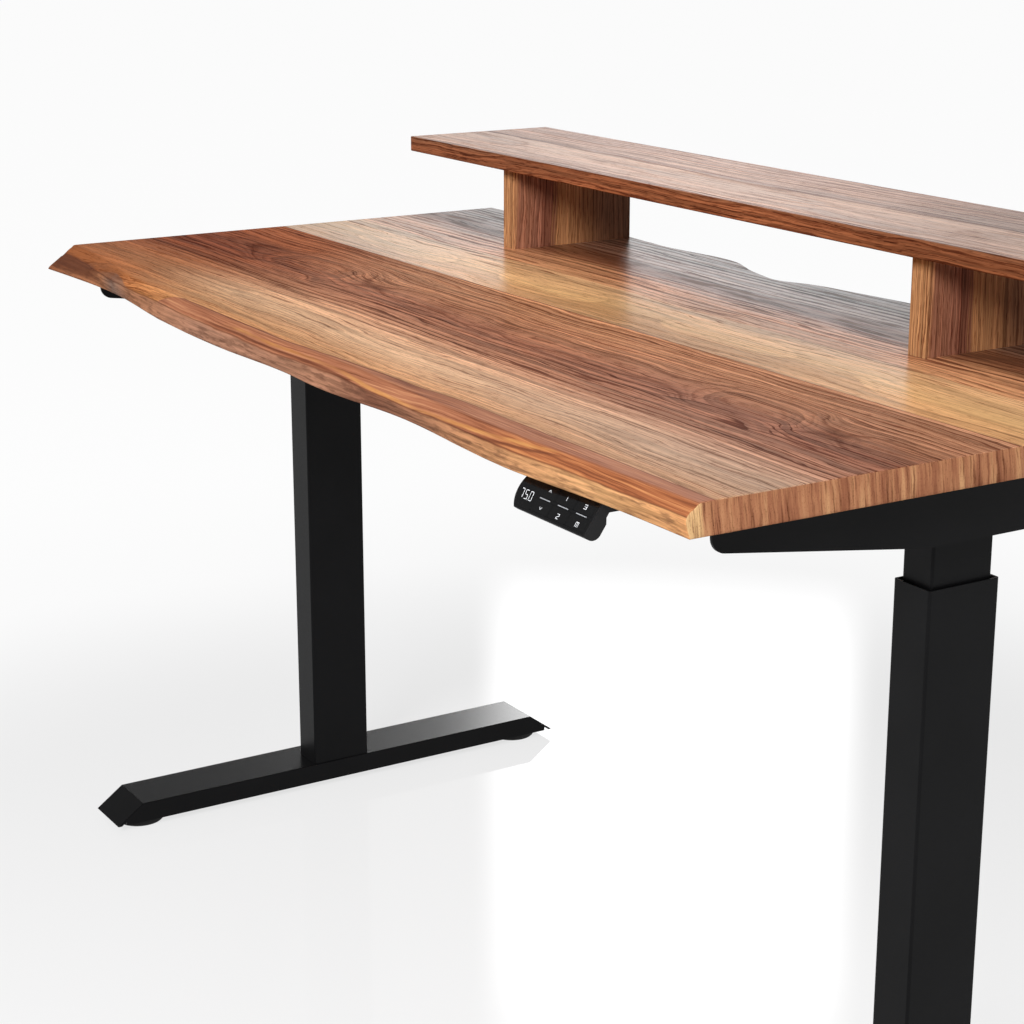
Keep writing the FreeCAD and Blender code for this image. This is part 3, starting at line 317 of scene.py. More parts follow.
SHELF_BOARD = {
    "fine": 205.0,
    "shades": [(0.0, 1.0), (0.42, 1.12), (0.60, 1.0), (0.78, 0.68), (1.0, 0.72)],
    "rings": [
        (0.090, 0.0), (0.139, 6.4), (0.158, 8.6), (0.180, 9.3), (0.205, 9.6), (0.232, 9.9), (0.252, 11.1),
        (0.300, 15.4), (0.375, 23.0),
    ],
    # Tones of the shelf's front face, up to 0.136, are darker wood and partly painted shade
    "tones": [
        (0.090, srgb(146, 87, 56)), (0.136, srgb(150, 91, 59)), (0.148, srgb(186, 134, 100)),
        (0.240, srgb(190, 140, 104)), (0.252, srgb(152, 102, 76)), (0.262, srgb(180, 128, 94)),
        (0.375, srgb(168, 116, 86)),
    ],
    "bold": [
        (0.090, 0.8), (0.150, 0.9), (0.170, 0.45), (0.235, 0.5), (0.252, 1.0), (0.270, 0.8), (0.375, 0.9),
    ],
    "eyes": [
        (0.205, 0.040, 2.4, [
            (-0.80, 0.3), (-0.52, 0.8), (-0.40, 0.3), (-0.20, 0.6), (0.05, 0.75), (0.30, 0.35), (0.50, 0.8),
            (0.80, 0.3)]),
    ],
}
SUPPORT_BOARD = {
    "fine": 270.0,
    "rings": [
        (0.130, 0.0), (0.187, 11.0), (0.217, 17.0), (0.226, 20.0), (0.272, 26.0), (0.312, 29.0),
        (0.375, 40.0),
    ],
    "tones": [
        (0.130, srgb(200, 150, 104)), (0.166, srgb(194, 142, 98)), (0.172, srgb(178, 122, 94)),
        (0.204, srgb(168, 112, 88)), (0.211, srgb(140, 88, 68)), (0.224, srgb(136, 86, 66)),
        (0.228, srgb(178, 126, 84)), (0.262, srgb(166, 116, 78)), (0.312, srgb(140, 96, 70)),
        (0.375, srgb(120, 82, 62)),
    ],
    "bold": [(0.130, 0.6), (0.200, 0.8), (0.226, 0.8), (0.260, 0.6), (0.375, 0.9)],
    "eyes": [],
}
LINE_TINT = (0.30, 0.21, 0.20, 1.0)


def board_ends(board):
    """Places across the grain where a board's tables start and end."""
    return board["rings"][0][0], board["rings"][-1][0]


def by_share(board, key):
    """Table of a board by the share of the way across, in place of metres."""
    low, high = board_ends(board)
    return [((across - low) / (high - low), value) for across, value in board[key]]


def growth(s, board, place, slant):
    """Place across the bent grain, its share of the way across the board, and the field of the rings."""
    along, across, deep = s.split(place)
    low, high = board_ends(board)
    most = max(value for _, value in board["rings"])
    slow = s.sway(place, (1.7, 6, 6), detail=1)
    medium = s.sway(place, (6, 30, 30), (3, 1, 2))
    small = s.sway(place, (22, 120, 120), (1, 4, 5))
    bent = s.total(across, (deep, slant), (slow, 0.036), (medium, 0.013), (small, 0.004))
    share = s.calc("DIVIDE", s.calc("SUBTRACT", bent, low), high - low, clamp=True)
    climb = s.curve(share, [(position, value / most) for position, value in by_share(board, "rings")])
    level = s.total((climb, most), medium, (slow, 1.2))
    for centre, width, rise, heights in board["eyes"]:
        away = s.calc("DIVIDE", s.calc("SUBTRACT", bent, centre), width)
        weight = s.calc("SUBTRACT", 1.0, s.calc("MULTIPLY", away, away), clamp=True)
        run = s.share(s.total(along, (medium, 0.04), (slow, 0.10)), GRAIN_REACH)
        shape = s.curve(run, [((x + GRAIN_REACH) / (2 * GRAIN_REACH), height) for x, height in heights])
        level = s.calc("ADD", level, s.product(weight, shape, rise))
    return bent, share, level


def plank(s, board, place, slant):
    """Colour, marks and fibre of one board, whose grain runs along the first axis of the place."""
    along, _, deep = s.split(place)
    low, high = board_ends(board)
    bent, share, level = growth(s, board, place, slant)

    # Dark lines of the rings, and thin ones between them
    bold = s.curve(share, by_share(board, "bold"))
    heavy, light, hue = s.chance(s.calc("FLOOR", level))
    line = s.ramp(s.calc("FRACT", level), [
        (0.0, 0.7), (0.08, 0.1), (0.36, 0.0), (0.66, 0.4), (0.9, 1.0), (1.0, 0.7)])
    line = s.product(line, s.total((heavy, 0.55), 0.30), bold)
    second = s.calc("MULTIPLY", level, 2.3)
    faint, _, _ = s.chance(s.calc("FLOOR", second))
    thin = s.ramp(s.calc("FRACT", second), [(0.0, 0.5), (0.12, 0.0), (0.5, 0.0), (0.88, 1.0), (1.0, 0.5)])
    thin = s.product(thin, faint, bold)

    # Streaks and hairs that flow along the rings
    layers = s.total(level, (bent, board["fine"]))
    flow = s.join(s.calc("MULTIPLY", along, 2.6), layers, s.calc("MULTIPLY", deep, 240.0))
    stripe = s.noise(flow, detail=4, rough=0.66)
    strand = s.noise(s.stretch(flow, (2.1, 2.3, 1.6), (9, 4, 2)), detail=2, rough=0.6)
    depth = s.total((bold, 0.5), 0.5)
    streaks = s.total(1.0, s.product(s.fade(stripe, 0.36, 0.64, 0.27, -0.34), depth))
    hairs = s.product(s.fade(strand, 0.55, 0.63, 0.0, 0.82), depth)

    # Colour of the zones, shaded by ring, patch, streak and fibre, with the marks over it
    shifted = s.total(share, (s.calc("SUBTRACT", light, 0.5), 0.016 / (high - low)))
    tone = s.ramp(shifted, by_share(board, "tones"))
    patch = s.noise(s.stretch(place, (1.1, 10, 10), (5, 0, 0)), detail=3)
    fibre = s.noise(s.stretch(place, (13, 700, 700)), detail=3, rough=0.65)
    pores = s.noise(s.stretch(place, (60, 800, 800), (7, 3, 8)), detail=1)
    shade = s.product(
        s.total((hue, 0.30), 0.85), s.fade(patch, *SPREAD, 0.86, 1.12),
        streaks, s.fade(fibre, *SPREAD, 0.82, 1.14))
    tone = s.times(tone, s.join(shade, shade, shade))
    marks = s.total(line, (thin, 0.5), hairs, s.fade(pores, 0.58, 0.68, 0.0, 0.45))
    marks = s.calc("MINIMUM", marks, 1.0)
    tone = s.mix(marks, tone, s.times(tone, LINE_TINT))
    return tone, marks, fibre


def lacquered(s, tone, marks, fibre, gloss):
    """Satin lacquer over the wood, broken where the marks open its surface."""
    s.set(
        Base_Color=tone, Roughness=0.7, Specular_IOR_Level=0.0, Coat_IOR=1.6,
        Coat_Weight=s.calc("MULTIPLY", gloss, s.fade(marks, 0.0, 0.9, 1.0, 0.4)),
        Coat_Roughness=0.30)
    s.bump(s.total((marks, -0.6), (fibre, 0.4)), 0.0001, 0.35)
    return s.material


def facing(s):
    """Direction of the true surface."""
    return s.split(s.node("ShaderNodeNewGeometry").outputs["True Normal"])


def walnut(name, board, grain, origin, slant, sheen, sheen_above):
    """Lacquered walnut of one board, with its grain along x or along z."""
    s = Shader(name)
    x, y, z = s.split(s.place())
    if grain == "x":
        place = s.join(x, y, s.calc("SUBTRACT", z, origin))
    else:
        place = s.join(s.calc("ADD", z, origin), y, s.calc("SUBTRACT", x, origin))
    gloss = s.fade(facing(s)[2], 0.5, 0.9, sheen, sheen_above)
    tone, marks, fibre = plank(s, board, place, slant)
    if "shades" in board:
        tone = s.times(tone, s.ramp(s.share(x, SHELF_REACH), board["shades"]))
    return lacquered(s, tone, marks, fibre, gloss)


def end_grain(s, place):
    """Colour of the sawn ends: upright ring lines in zones of pale and dark wood."""
    _, y, z = s.split(place)
    wave = s.sway(place, (0, 16, 60))
    lean = s.total(y, (z, 0.14), (wave, 0.003))
    rows = s.join(s.calc("MULTIPLY", lean, 290.0), s.calc("MULTIPLY", z, 16.0), 0.0)
    lines = s.noise(rows, detail=3, rough=0.7)
    patches = s.join(s.calc("MULTIPLY", lean, 95.0), s.calc("MULTIPLY", z, 6.0), 4.0)
    zones = s.noise(patches, detail=3, rough=0.6)
    base = s.ramp(zones, [
        (0.34, srgb(128, 80, 58)), (0.45, srgb(148, 98, 71)), (0.55, srgb(164, 114, 82)),
        (0.68, srgb(190, 144, 103))])
    base = s.mix(s.fade(lean, -0.352, -0.346, 0.85, 0.0), base, srgb(212, 174, 124))
    grit = s.noise(s.stretch(place, (0, 900, 500)), detail=2)
    marks = s.total(s.fade(lines, 0.47, 0.66, 0.0, 0.75), s.fade(grit, 0.55, 0.70, 0.0, 0.35))
    return s.mix(marks, base, s.times(base, LINE_TINT))


class FrontEdge:
    """What the colours of the front edge are laid out by."""

    def __init__(self, s, place):
        self.place = place
        self.x, _, _ = s.split(place)
        self.run = s.share(self.x, TOP_LENGTH / 2)
        self.down = s.node("ShaderNodeAttribute", attribute_name="edge").outputs["Fac"]
        self.inward = s.node("ShaderNodeAttribute", attribute_name="inward").outputs["Fac"]
        self.wobble = s.sway(place, (14, 30, 30), (2, 2, 8), 3)
        self.hair = s.noise(s.stretch(place, (10, 200, 330), (6, 1, 2)), detail=4, rough=0.65)


def heartwood(s, tone, at):
    """Tone with red heartwood from a slanting start, and with a dark line along its inner border."""
    reach = s.curve(at.run, [
        (0.0, 0.10), (0.29, 0.20), (0.50, 0.20), (0.58, 0.26), (0.67, 0.46), (0.76, 0.68), (0.84, 0.66),
        (0.94, 0.52), (1.0, 0.45)])
    past = s.total((reach, 0.04), (at.inward, -1.0), (at.wobble, 0.006))
    begun = s.total(at.x, (at.inward, -1.7), 0.302, (at.wobble, 0.02))
    started = s.fade(begun, -0.003, 0.003)
    red = s.product(s.fade(past, -0.0004, 0.0012), started)
    rows = s.join(s.calc("MULTIPLY", at.x, 6.0), s.calc("MULTIPLY", past, 300.0), 1.0)
    lines = s.noise(rows, detail=4, rough=0.66)
    heart = s.ramp(lines, [
        (0.32, srgb(100, 58, 42)), (0.44, srgb(144, 90, 65)), (0.56, srgb(164, 108, 80)),
        (0.70, srgb(194, 138, 100))])
    amber = s.ramp(lines, [
        (0.36, srgb(104, 56, 34)), (0.50, srgb(158, 92, 52)), (0.64, srgb(196, 130, 76))])
    warm = s.product(s.fade(at.x, 0.36, 0.48), s.fade(at.down, 0.05, 0.20))
    heart = s.stain(heart, amber, warm, 0.6)
    tone = s.mix(red, tone, heart)
    border = s.product(s.within(past, -0.0004, 0.0006, 0.0012, 0.003), started)
    return s.stain(tone, srgb(112, 64, 46), border, 0.75)


def golden_streak(s, tone, at):
    """Tone with a golden streak over the crease, and with a dark line under it."""
    centre = s.curve(at.run, [
        (0.0, 0.33), (0.30, 0.34), (0.46, 0.30), (0.55, 0.34), (0.68, 0.46), (0.76, 0.42), (0.83, 0.28),
        (0.89, 0.10), (1.0, 0.0)])
    off = s.total(at.down, (centre, -1.0), (at.wobble, 0.06))
    breaks = s.noise(s.stretch(at.place, (11, 8, 8), (4, 7, 1)), detail=2)
    streak = s.product(
        s.fade(breaks, 0.34, 0.56, 0.25, 1.0), s.fade(s.calc("ABSOLUTE", off), 0.015, 0.07, 1.0, 0.0),
        s.within(at.x, -0.16, -0.10, 0.50, 0.54))
    gold = s.ramp(at.hair, [(0.35, srgb(166, 108, 62)), (0.65, srgb(204, 148, 90))])
    tone = s.stain(tone, gold, streak, 0.85)
    under = s.product(s.within(off, 0.07, 0.10, 0.12, 0.17), s.within(at.x, -0.22, -0.16, 0.50, 0.56))
    return s.stain(tone, srgb(98, 56, 40), under, 0.75)


def weathered_band(s, tone, at):
    """Tone with a weathered lower band, whose upper border rises to a peak near the left end."""
    lower = s.ramp(at.run, [
        (0.0, srgb(132, 82, 56)), (0.12, srgb(152, 102, 72)), (0.15, srgb(122, 98, 86)),
        (0.20, srgb(162, 112, 82)), (0.36, srgb(156, 114, 92)), (0.57, srgb(156, 112, 88)),
        (0.64, srgb(124, 82, 64)), (0.70, srgb(146, 102, 78)), (0.79, srgb(178, 128, 90)),
        (0.92, srgb(196, 148, 102)), (1.0, srgb(192, 138, 92))])
    grain = s.fade(at.hair, 0.32, 0.68, 0.62, 1.26)
    lower = s.times(lower, s.join(grain, grain, grain))
    fleck = s.noise(s.stretch(at.place, (34, 150, 220), (1, 6, 3)), detail=3, rough=0.6)
    lower = s.mix(s.fade(fleck, 0.48, 0.66, 0.0, 0.55), lower, srgb(86, 56, 44))
    peak = s.fade(s.calc("ABSOLUTE", s.calc("ADD", at.x, 0.500)), 0.0, 0.075, 0.22, 0.0)
    below = s.fade(s.total(at.down, peak, (at.wobble, 0.10)), 0.49, 0.54)
    return s.mix(below, tone, lower)


def dark_lines_and_foot_shade(s, tone, at):
    """Tone darker at the left shoulder and corner, with darker wood in the crease, and with painted shade
    along the foot.
    """
    shoulder = s.product(s.fade(at.x, -0.52, -0.40, 1.0, 0.0), s.within(at.down, 0.02, 0.12, 0.46, 0.54))
    tone = s.stain(tone, srgb(126, 76, 48), shoulder, 0.6)
    corner = s.product(s.fade(at.x, -0.60, -0.53, 1.0, 0.0), s.within(at.down, 0.40, 0.52, 0.66, 0.80))
    tone = s.stain(tone, srgb(86, 48, 34), corner, 0.75)
    off_crease = s.calc("ABSOLUTE", s.total(at.down, -0.505, (at.wobble, 0.05)))
    tone = s.mix(s.fade(off_crease, 0.004, 0.024, 0.6, 0.0), tone, srgb(84, 50, 38))
    # Painted shade along the foot of the edge, where it faces down
    return s.mix(s.fade(at.down, 0.86, 0.98, 0.0, 0.45), tone, srgb(92, 58, 44))


def live_edge(s, tone, place):
    """Colour of the front edge's two bands and of the red heartwood that runs out along the rim."""
    at = FrontEdge(s, place)
    for layer in (heartwood, golden_streak, weathered_band, dark_lines_and_foot_shade):
        tone = layer(s, tone, at)
    return tone


def walnut_top(name):
    """Two boards glued side by side, with live edges and sawn ends."""
    s = Shader(name)
    x, y, z = s.split(s.place())
    place = s.join(x, y, s.calc("SUBTRACT", z, TOP_HIGH))
    front, front_marks, fibre = plank(s, FRONT_BOARD, place, slant=0.25)
    back, back_marks, _ = plank(s, BACK_BOARD, place, slant=-0.2)

    # Dark band of the back board, with knots in it
    wander = s.sway(place, (4, 12, 12), (2, 5, 0), 3)
    band = s.within(s.total(y, (wander, 0.036)), 0.188, 0.206, 0.222, 0.248)
    knots = s.noise(s.stretch(place, (8, 70, 70), (4, 2, 0)), detail=3, rough=0.6)
    knots = s.product(s.fade(knots, 0.46, 0.62), band)
    back = s.stain(back, srgb(72, 43, 30), knots, 0.5)
    back_marks = s.calc("MAXIMUM", back_marks, s.total((knots, 0.5), (band, 0.4)))

    # Both boards, with a glue line between them
    side = s.calc("GREATER_THAN", y, GLUE_LINE)
    tone = s.mix(side, front, back)
    marks = s.mix(side, front_marks, back_marks)
    seam = s.calc("LESS_THAN", s.calc("ABSOLUTE", s.calc("SUBTRACT", y, GLUE_LINE)), GLUE_WIDTH / 2)
    tone = s.stain(tone, srgb(84, 48, 30), seam, 0.6)

    # Painted light and shade along the lengths of the boards, then edges and sawn ends
    run = s.share(x, TOP_LENGTH / 2)
    # Painted shade on the front board: darker and redder towards the left end, where the light falls off,
    # and darker towards the right end
    tint = s.ramp(run, [
        (0.0, (0.63, 0.38, 0.25, 1.0)), (0.14, (0.69, 0.46, 0.31, 1.0)), (0.30, (1.0, 1.0, 1.0, 1.0)),
        (0.62, (0.98, 0.99, 1.02, 1.0)), (0.90, (0.74, 0.78, 0.90, 1.0))])
    # Painted light and shade on the back board: lighter and darker by stretches along its length
    back_painted_light = s.ramp(run, [
        (0.0, 0.78), (0.16, 0.82), (0.28, 1.14), (0.42, 1.14), (0.54, 0.80), (0.74, 0.78), (0.86, 0.95)])
    tone = s.times(tone, s.mix(side, tint, back_painted_light))
    tone = s.mix(s.calc("LESS_THAN", y, 0.0), tone, live_edge(s, tone, place))
    sideways, _, upward = facing(s)
    end = s.fade(s.calc("ABSOLUTE", sideways), 0.6, 0.8)
    tone = s.mix(end, tone, end_grain(s, place))
    lacquer = s.fade(y, GLUE_LINE - 0.001, GLUE_LINE + 0.001, 0.16, 0.95)
    return lacquered(s, tone, marks, fibre, s.product(lacquer, s.fade(upward, 0.5, 0.9, 0.15, 1.0)))


def coated_steel(name, colour, rough, shine, gloss_above=0.0):
    """Powder-coated sheet with a fine orange-peel surface, and with a gloss where it faces up."""
    s = Shader(name)
    place = s.place()
    peel = s.noise(place, 900, 3, 0.55)
    cloud = s.noise(place, 9, 3, 0.5)
    tone = s.mix(s.fade(cloud, *SPREAD), colour, tinted(colour, 1.35))
    skin = s.fade(peel, *SPREAD, rough + 0.06, rough - 0.05)
    s.set(Base_Color=tone, Roughness=skin, Specular_IOR_Level=shine)
    if gloss_above:
        upper = s.fade(facing(s)[2], 0.9, 0.98, 0.0, gloss_above)
        s.set(Coat_Weight=upper, Coat_Roughness=0.16, Coat_IOR=1.85)
    s.bump(peel, 0.00004, 0.35)
    return s.material


def moulded(name, colour, rough, shine, grain=1400, depth=0.00003):
    """Moulded plastic or rubber with a fine spark-eroded grain."""
    s = Shader(name)
    place = s.place()
    pits = s.noise(place, grain, 2, 0.5)
    cloud = s.noise(place, 30, 2, 0.5)
    tone = s.mix(s.fade(cloud, *SPREAD), colour, tinted(colour, 1.25))
    skin = s.fade(pits, *SPREAD, rough * 1.1, rough * 0.9)
    s.set(Base_Color=tone, Roughness=skin, Specular_IOR_Level=shine)
    s.bump(pits, depth, 0.4)
    return s.material


def bare_metal(name, colour, rough, stretch=(400, 400, 14)):
    """Plated or machined metal with fine drawn lines."""
    s = Shader(name)
    lines = s.noise(s.stretch(s.place(), stretch), detail=3, rough=0.6)
    tone = s.mix(s.fade(lines, *SPREAD), tinted(colour, 0.8), colour)
    s.set(Base_Color=tone, Metallic=1.0, Roughness=s.fade(lines, *SPREAD, rough + 0.1, rough))
    s.bump(lines, 0.00003, 0.3)
    return s.material


def circuit_board(name):
    """Green board with traces."""
    s = Shader(name)
    place = s.place()
    bricks = s.node("ShaderNodeTexBrick")
    s.put(bricks.inputs["Vector"], place)
    bricks.inputs["Scale"].default_value = 120
    bricks.inputs["Mortar Size"].default_value = 0.03
    cloud = s.noise(place, 60, 2, 0.5)
    green = s.ramp(cloud, [(0.3, srgb(14, 62, 34)), (0.7, srgb(22, 86, 48))])
    s.set(Base_Color=s.mix(bricks.outputs["Fac"], green, srgb(40, 116, 70)), Roughness=0.35)
    s.bump(bricks.outputs["Fac"], 0.00005, 0.5)
    return s.material


def beech(name):
    """Pale dowel wood with short flecks."""
    s = Shader(name)
    fleck = s.noise(s.stretch(s.place(), (500, 500, 40)), detail=2)
    tone = s.ramp(fleck, [(0.35, srgb(214, 178, 134)), (0.65, srgb(190, 148, 104))])
    s.set(Base_Color=tone, Roughness=0.5)
    s.bump(fleck, 0.00005, 0.4)
    return s.material


def lit(name, colour, strength):
    """Milky plastic that glows, with a slight unevenness."""
    s = Shader(name)
    glow = s.noise(s.place(), 700, 2, 0.5)
    tone = s.mix(s.fade(glow, *SPREAD), tinted(colour, 0.9), colour)
    s.set(Base_Color=tone, Emission_Color=tone, Roughness=0.35)
    s.bsdf.inputs["Emission Strength"].default_value = strength
    return s.material


# Colour, roughness and shine of the black powder coat
COAT = (srgb(11, 11, 12), 0.38, 0.085)

# Looks of the slots, and of single nodes that have one of their own
looks = {
    "black_steel": coated_steel("powder_coat", *COAT),
    "black_plastic": moulded("moulded_black", srgb(22, 22, 23), rough=0.40, shine=0.2),
    "black_rubber": moulded("rubber", srgb(20, 20, 20), rough=0.6, shine=0.25, grain=500, depth=0.00006),
    "gloss_black": moulded("gloss_black", srgb(9, 9, 10), rough=0.10, shine=0.4, grain=200, depth=0.00001),
    "bright_steel": bare_metal("zinc_steel", srgb(190, 190, 194), rough=0.28),
    "motor_steel": coated_steel("motor_can", srgb(70, 70, 73), rough=0.38, shine=0.4),
    "bronze": bare_metal("bronze", srgb(190, 150, 90), rough=0.3),
    "cast_aluminium": bare_metal("cast_aluminium", srgb(176, 178, 180), rough=0.42, stretch=(90, 90, 90)),
    "circuit_board": circuit_board("solder_resist"),
    "white_light": lit("light_guide", srgb(150, 152, 156), strength=0.3),
    "beech": beech("beech"),
}
foot_coat = coated_steel("powder_coat_foot", *COAT, gloss_above=1.0)
own_look = {
    "foot_left": foot_coat,
    "foot_right": foot_coat,
    "riser_board": walnut(
        "walnut_shelf", SHELF_BOARD, "x", SHELF_HIGH, slant=0.9, sheen=0.12, sheen_above=0.75),
    "riser_support_left": walnut(
        "walnut_left", SUPPORT_BOARD, "z", SUPPORTS[0], slant=0.8, sheen=0.08, sheen_above=0.08),
    "riser_support_right": walnut(
        "walnut_right", SUPPORT_BOARD, "z", SUPPORTS[1], slant=0.8, sheen=0.08, sheen_above=0.08),
}
for row in frame["record"]["subparts"]:
    name, slot = row["node"], row["material_slot"]
    finish = own_look.get(name) or looks.get(slot)
    if finish:
        nodes[name].data.materials.clear()
        nodes[name].data.materials.append(finish)


# Tabletop with its live edges, finer than the solid that it stands for. Each row has a place along the
# top, from end to end, and how far the edge reaches past half of the nominal depth, in millimetres, at
# the upper face, at the crease and at the lower face.

FRONT_EDGE = [
    (-1.00, -34, -23, 0), (-0.84, -28, -14, -6), (-0.68, -12, 0, -5), (-0.52, -4, 6, 7), (-0.31, 4, 14, 17),
    (-0.15, 5, 15, 17), (0.00, 6, 17, 13), (0.15, 1, 11, 16), (0.32, 5, 16, 7), (0.46, 8, 18, 11),
    (0.64, 9, 19, 18), (0.82, 5, 14, 11), (1.00, 2, 11, 9.5),
]
BACK_EDGE = [
    (-1.00, -25, -15, -4), (-0.84, -20, -11, 0), (-0.67, -12, -4, 8), (-0.55, -6, 3, 13),
    (-0.43, -11, -2, 8), (-0.31, -4, 5, 15), (-0.21, -7, 2, 11), (-0.147, -25, -17, -8),
    (-0.088, -36, -29, -22), (-0.035, -39, -32, -25), (0.007, -27, -20, -11), (0.084, -16, -8, 3),
    (0.23, -4, 5, 15), (0.42, 0, 9, 18.8), (0.63, -3, 6, 15), (0.84, -7, 2, 11), (1.00, -10, -1, 8),
]

# Bumps of the edges: height, and scales along the edge, from side to side and upwards
BUMPS = [(0.0018, 14, 3.1, 46), (0.0008, 55, 7.7, 120)]

# Points on the way down an edge, stations along the top, and the flat strip beside each edge
EDGE_POINTS = 25
STATIONS = 478
FLAT_STRIP = 0.03

# Distance from the rim at which the upper face starts to turn down, and what the way down counts for in
# the distance inward
TURN_DOWN = 0.005
WAY_DOWN = 0.02

# Rounding of the sawn ends: distance from the end and how far the outline is drawn in
SOFT_END = [(0.0, 0.0012), (0.0004, 0.0004), (0.0012, 0.0)]


def spline(places, values, at):
    """Natural cubic spline through points, as the part's source has it."""
    places, values = np.array(places, float), np.array(values, float)
    step = np.diff(places)
    count = len(places)
    matrix, side = np.eye(count), np.zeros(count)
    for i in range(1, count - 1):
        matrix[i, i - 1:i + 2] = step[i - 1], 2 * (step[i - 1] + step[i]), step[i]
        side[i] = 6 * ((values[i + 1] - values[i]) / step[i] - (values[i] - values[i - 1]) / step[i - 1])
    bend = np.linalg.solve(matrix, side)
    k = np.clip(np.searchsorted(places, at) - 1, 0, count - 2)
    a, b, h = places[k + 1] - at, at - places[k], step[k]
    bent = (bend[k] * a ** 3 + bend[k + 1] * b ** 3) / (6 * h)
    return bent + (values[k] / h - bend[k] * h / 6) * a + (values[k + 1] / h - bend[k + 1] * h / 6) * b


def edge_profile(rows, x, side):
    """Points of a live edge at one station, from the upper face down, each with its share of the way."""
    place = x / (TOP_LENGTH / 2)
    places = [row[0] for row in rows]
    upper, crease, lower = [spline(places, [row[c] for row in rows], place) / 1000 for c in (1, 2, 3)]
    anchors = [
        (upper - TURN_DOWN, TOP_HIGH),
        (upper - 0.0012, TOP_HIGH - 0.0006),
        (upper + 0.0018, TOP_HIGH - 0.0030),
        ((upper + crease) / 2 + 0.0012, TOP_HIGH - 0.0060),
        (crease, CREASE),
        (crease * 0.62 + lower * 0.38 + 0.0012, CREASE - 0.0075),
        (crease * 0.2 + lower * 0.8 + 0.0008, CREASE - 0.0145),
        (lower, TOP_LOW + 0.0012),
        (lower - 0.0015, TOP_LOW),
    ]
    coarse = np.linspace(0, 1, len(anchors))
    fine = np.linspace(0, 1, EDGE_POINTS)
    outs = spline(coarse, [anchor[0] for anchor in anchors], fine)
    heights = np.clip(spline(coarse, [anchor[1] for anchor in anchors], fine), TOP_LOW, TOP_HIGH)
    points = [(side * (TOP_DEPTH / 2 + outs[0] - FLAT_STRIP), TOP_HIGH, 0.0)]
    for share, out, z in zip(fine, outs, heights):
        rough = math.sin(math.pi * share) ** 0.7
        bump = sum(
            tall * noise.noise(Vector((x * run, side * shift, z * rise)))
            for tall, run, shift, rise in BUMPS)
        points.append((side * (TOP_DEPTH / 2 + out + rough * bump), z, share))
    points.append((side * (TOP_DEPTH / 2 + outs[-1] - FLAT_STRIP), TOP_LOW, 1.0))
    return points


def tabletop():
    """Board between the two live edges, with softened ends."""
    stations = np.linspace(-TOP_LENGTH / 2, TOP_LENGTH / 2, STATIONS)
    left = [(stations[0] + away, inset) for away, inset in SOFT_END]
    right = [(stations[-1] - away, inset) for away, inset in reversed(SOFT_END)]
    middle = (TOP_LOW + TOP_HIGH) / 2
    rings = []
    for x, inset in left + [(x, 0.0) for x in stations[1:-1]] + right:
        front = edge_profile(FRONT_EDGE, x, -1)
        back = edge_profile(BACK_EDGE, x, 1)
        rim = front[1][0] - TURN_DOWN
        ring = []
        for y, z, share in front + back[::-1]:
            drawn_y = y - math.copysign(inset, y)
            drawn_z = z - math.copysign(inset, z - middle)
            ring.append((x, drawn_y, drawn_z, share, y - rim - WAY_DOWN * share))
        rings.append(ring)
    size = len(rings[0])
    points = [p[:3] for ring in rings for p in ring]
    faces = []
    for i in range(len(rings) - 1):
        for k in range(size):
            a, b = i * size + k, i * size + (k + 1) % size
            faces.append((a, b, b + size, a + size))
    faces.append(tuple(range(size))[::-1])
    faces.append(tuple((len(rings) - 1) * size + k for k in range(size)))
    mesh = bpy.data.meshes.new("tabletop_live_edge")
    mesh.from_pydata(points, [], faces)
    mesh.update()
    for name, column in (("edge", 3), ("inward", 4)):
        values = mesh.attributes.new(name, "FLOAT", "POINT")
        values.data.foreach_set("value", [p[column] for ring in rings for p in ring])
    mesh.polygons.foreach_set("use_smooth", [True] * len(mesh.polygons))
    mesh.set_sharp_from_angle(angle=math.radians(40))
    made = bpy.data.objects.new("tabletop_live_edge", mesh)
    bpy.context.scene.collection.objects.link(made)
    mesh.materials.append(walnut_top("walnut_top"))
    return made


top = tabletop()
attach(top, "desk")
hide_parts("tabletop")


# Signs of the keypad: thin raised strokes on the keys and lit segments on the display

# Heights above the keypad's face, in millimetres: foot of a stroke, top of a sign and top of a digit
STROKE_FOOT = 0.02
SIGN_HEIGHT = 0.08
DIGIT_HEIGHT = 0.06

# Width of the digits' strokes
DIGIT_STROKE = 0.38

# Place of the decimal point, as a share of the gap between two digits, and its two ends about that place
POINT_PLACE = 0.45
POINT_ENDS = (-0.15, 0.35)

FACE_AXES = Matrix((
    (1, 0, 0),
    (0, math.cos(FACE_TILT), -math.sin(FACE_TILT)),
    (0, math.sin(FACE_TILT), math.cos(FACE_TILT)),
))


def strokes(name, lines, width, height, material, body):
    """Thin raised strokes on the keypad's face, drawn in millimetres from its lower left corner."""
    points, faces = [], []
    for line in lines:
        for (x0, y0), (x1, y1) in zip(line, line[1:]):
            run = Vector((x1 - x0, y1 - y0)).normalized()
            side = Vector((-run.y, run.x)) * width / 2
            run = run * width / 4
            corners = [
                (x0 - run.x + side.x, y0 - run.y + side.y),
                (x0 - run.x - side.x, y0 - run.y - side.y),
                (x1 + run.x - side.x, y1 + run.y - side.y),
                (x1 + run.x + side.x, y1 + run.y + side.y),
            ]
            base = len(points)
            for z in (STROKE_FOOT, height):
                for cx, cy in corners:
                    points.append(FACE_ORIGIN + FACE_AXES @ (Vector((cx, cy, z)) / 1000))
            faces += [(base, base + 3, base + 2, base + 1), (base + 4, base + 5, base + 6, base + 7)]
            for k in range(4):
                n = (k + 1) % 4
                faces.append((base + k, base + 4 + k, base + 4 + n, base + n)[::-1])
    mesh = bpy.data.meshes.new(name)
    mesh.from_pydata(points, [], faces)
    mesh.materials.append(material)
    made = bpy.data.objects.new(name, mesh)
    bpy.context.scene.collection.objects.link(made)
    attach(made, body)


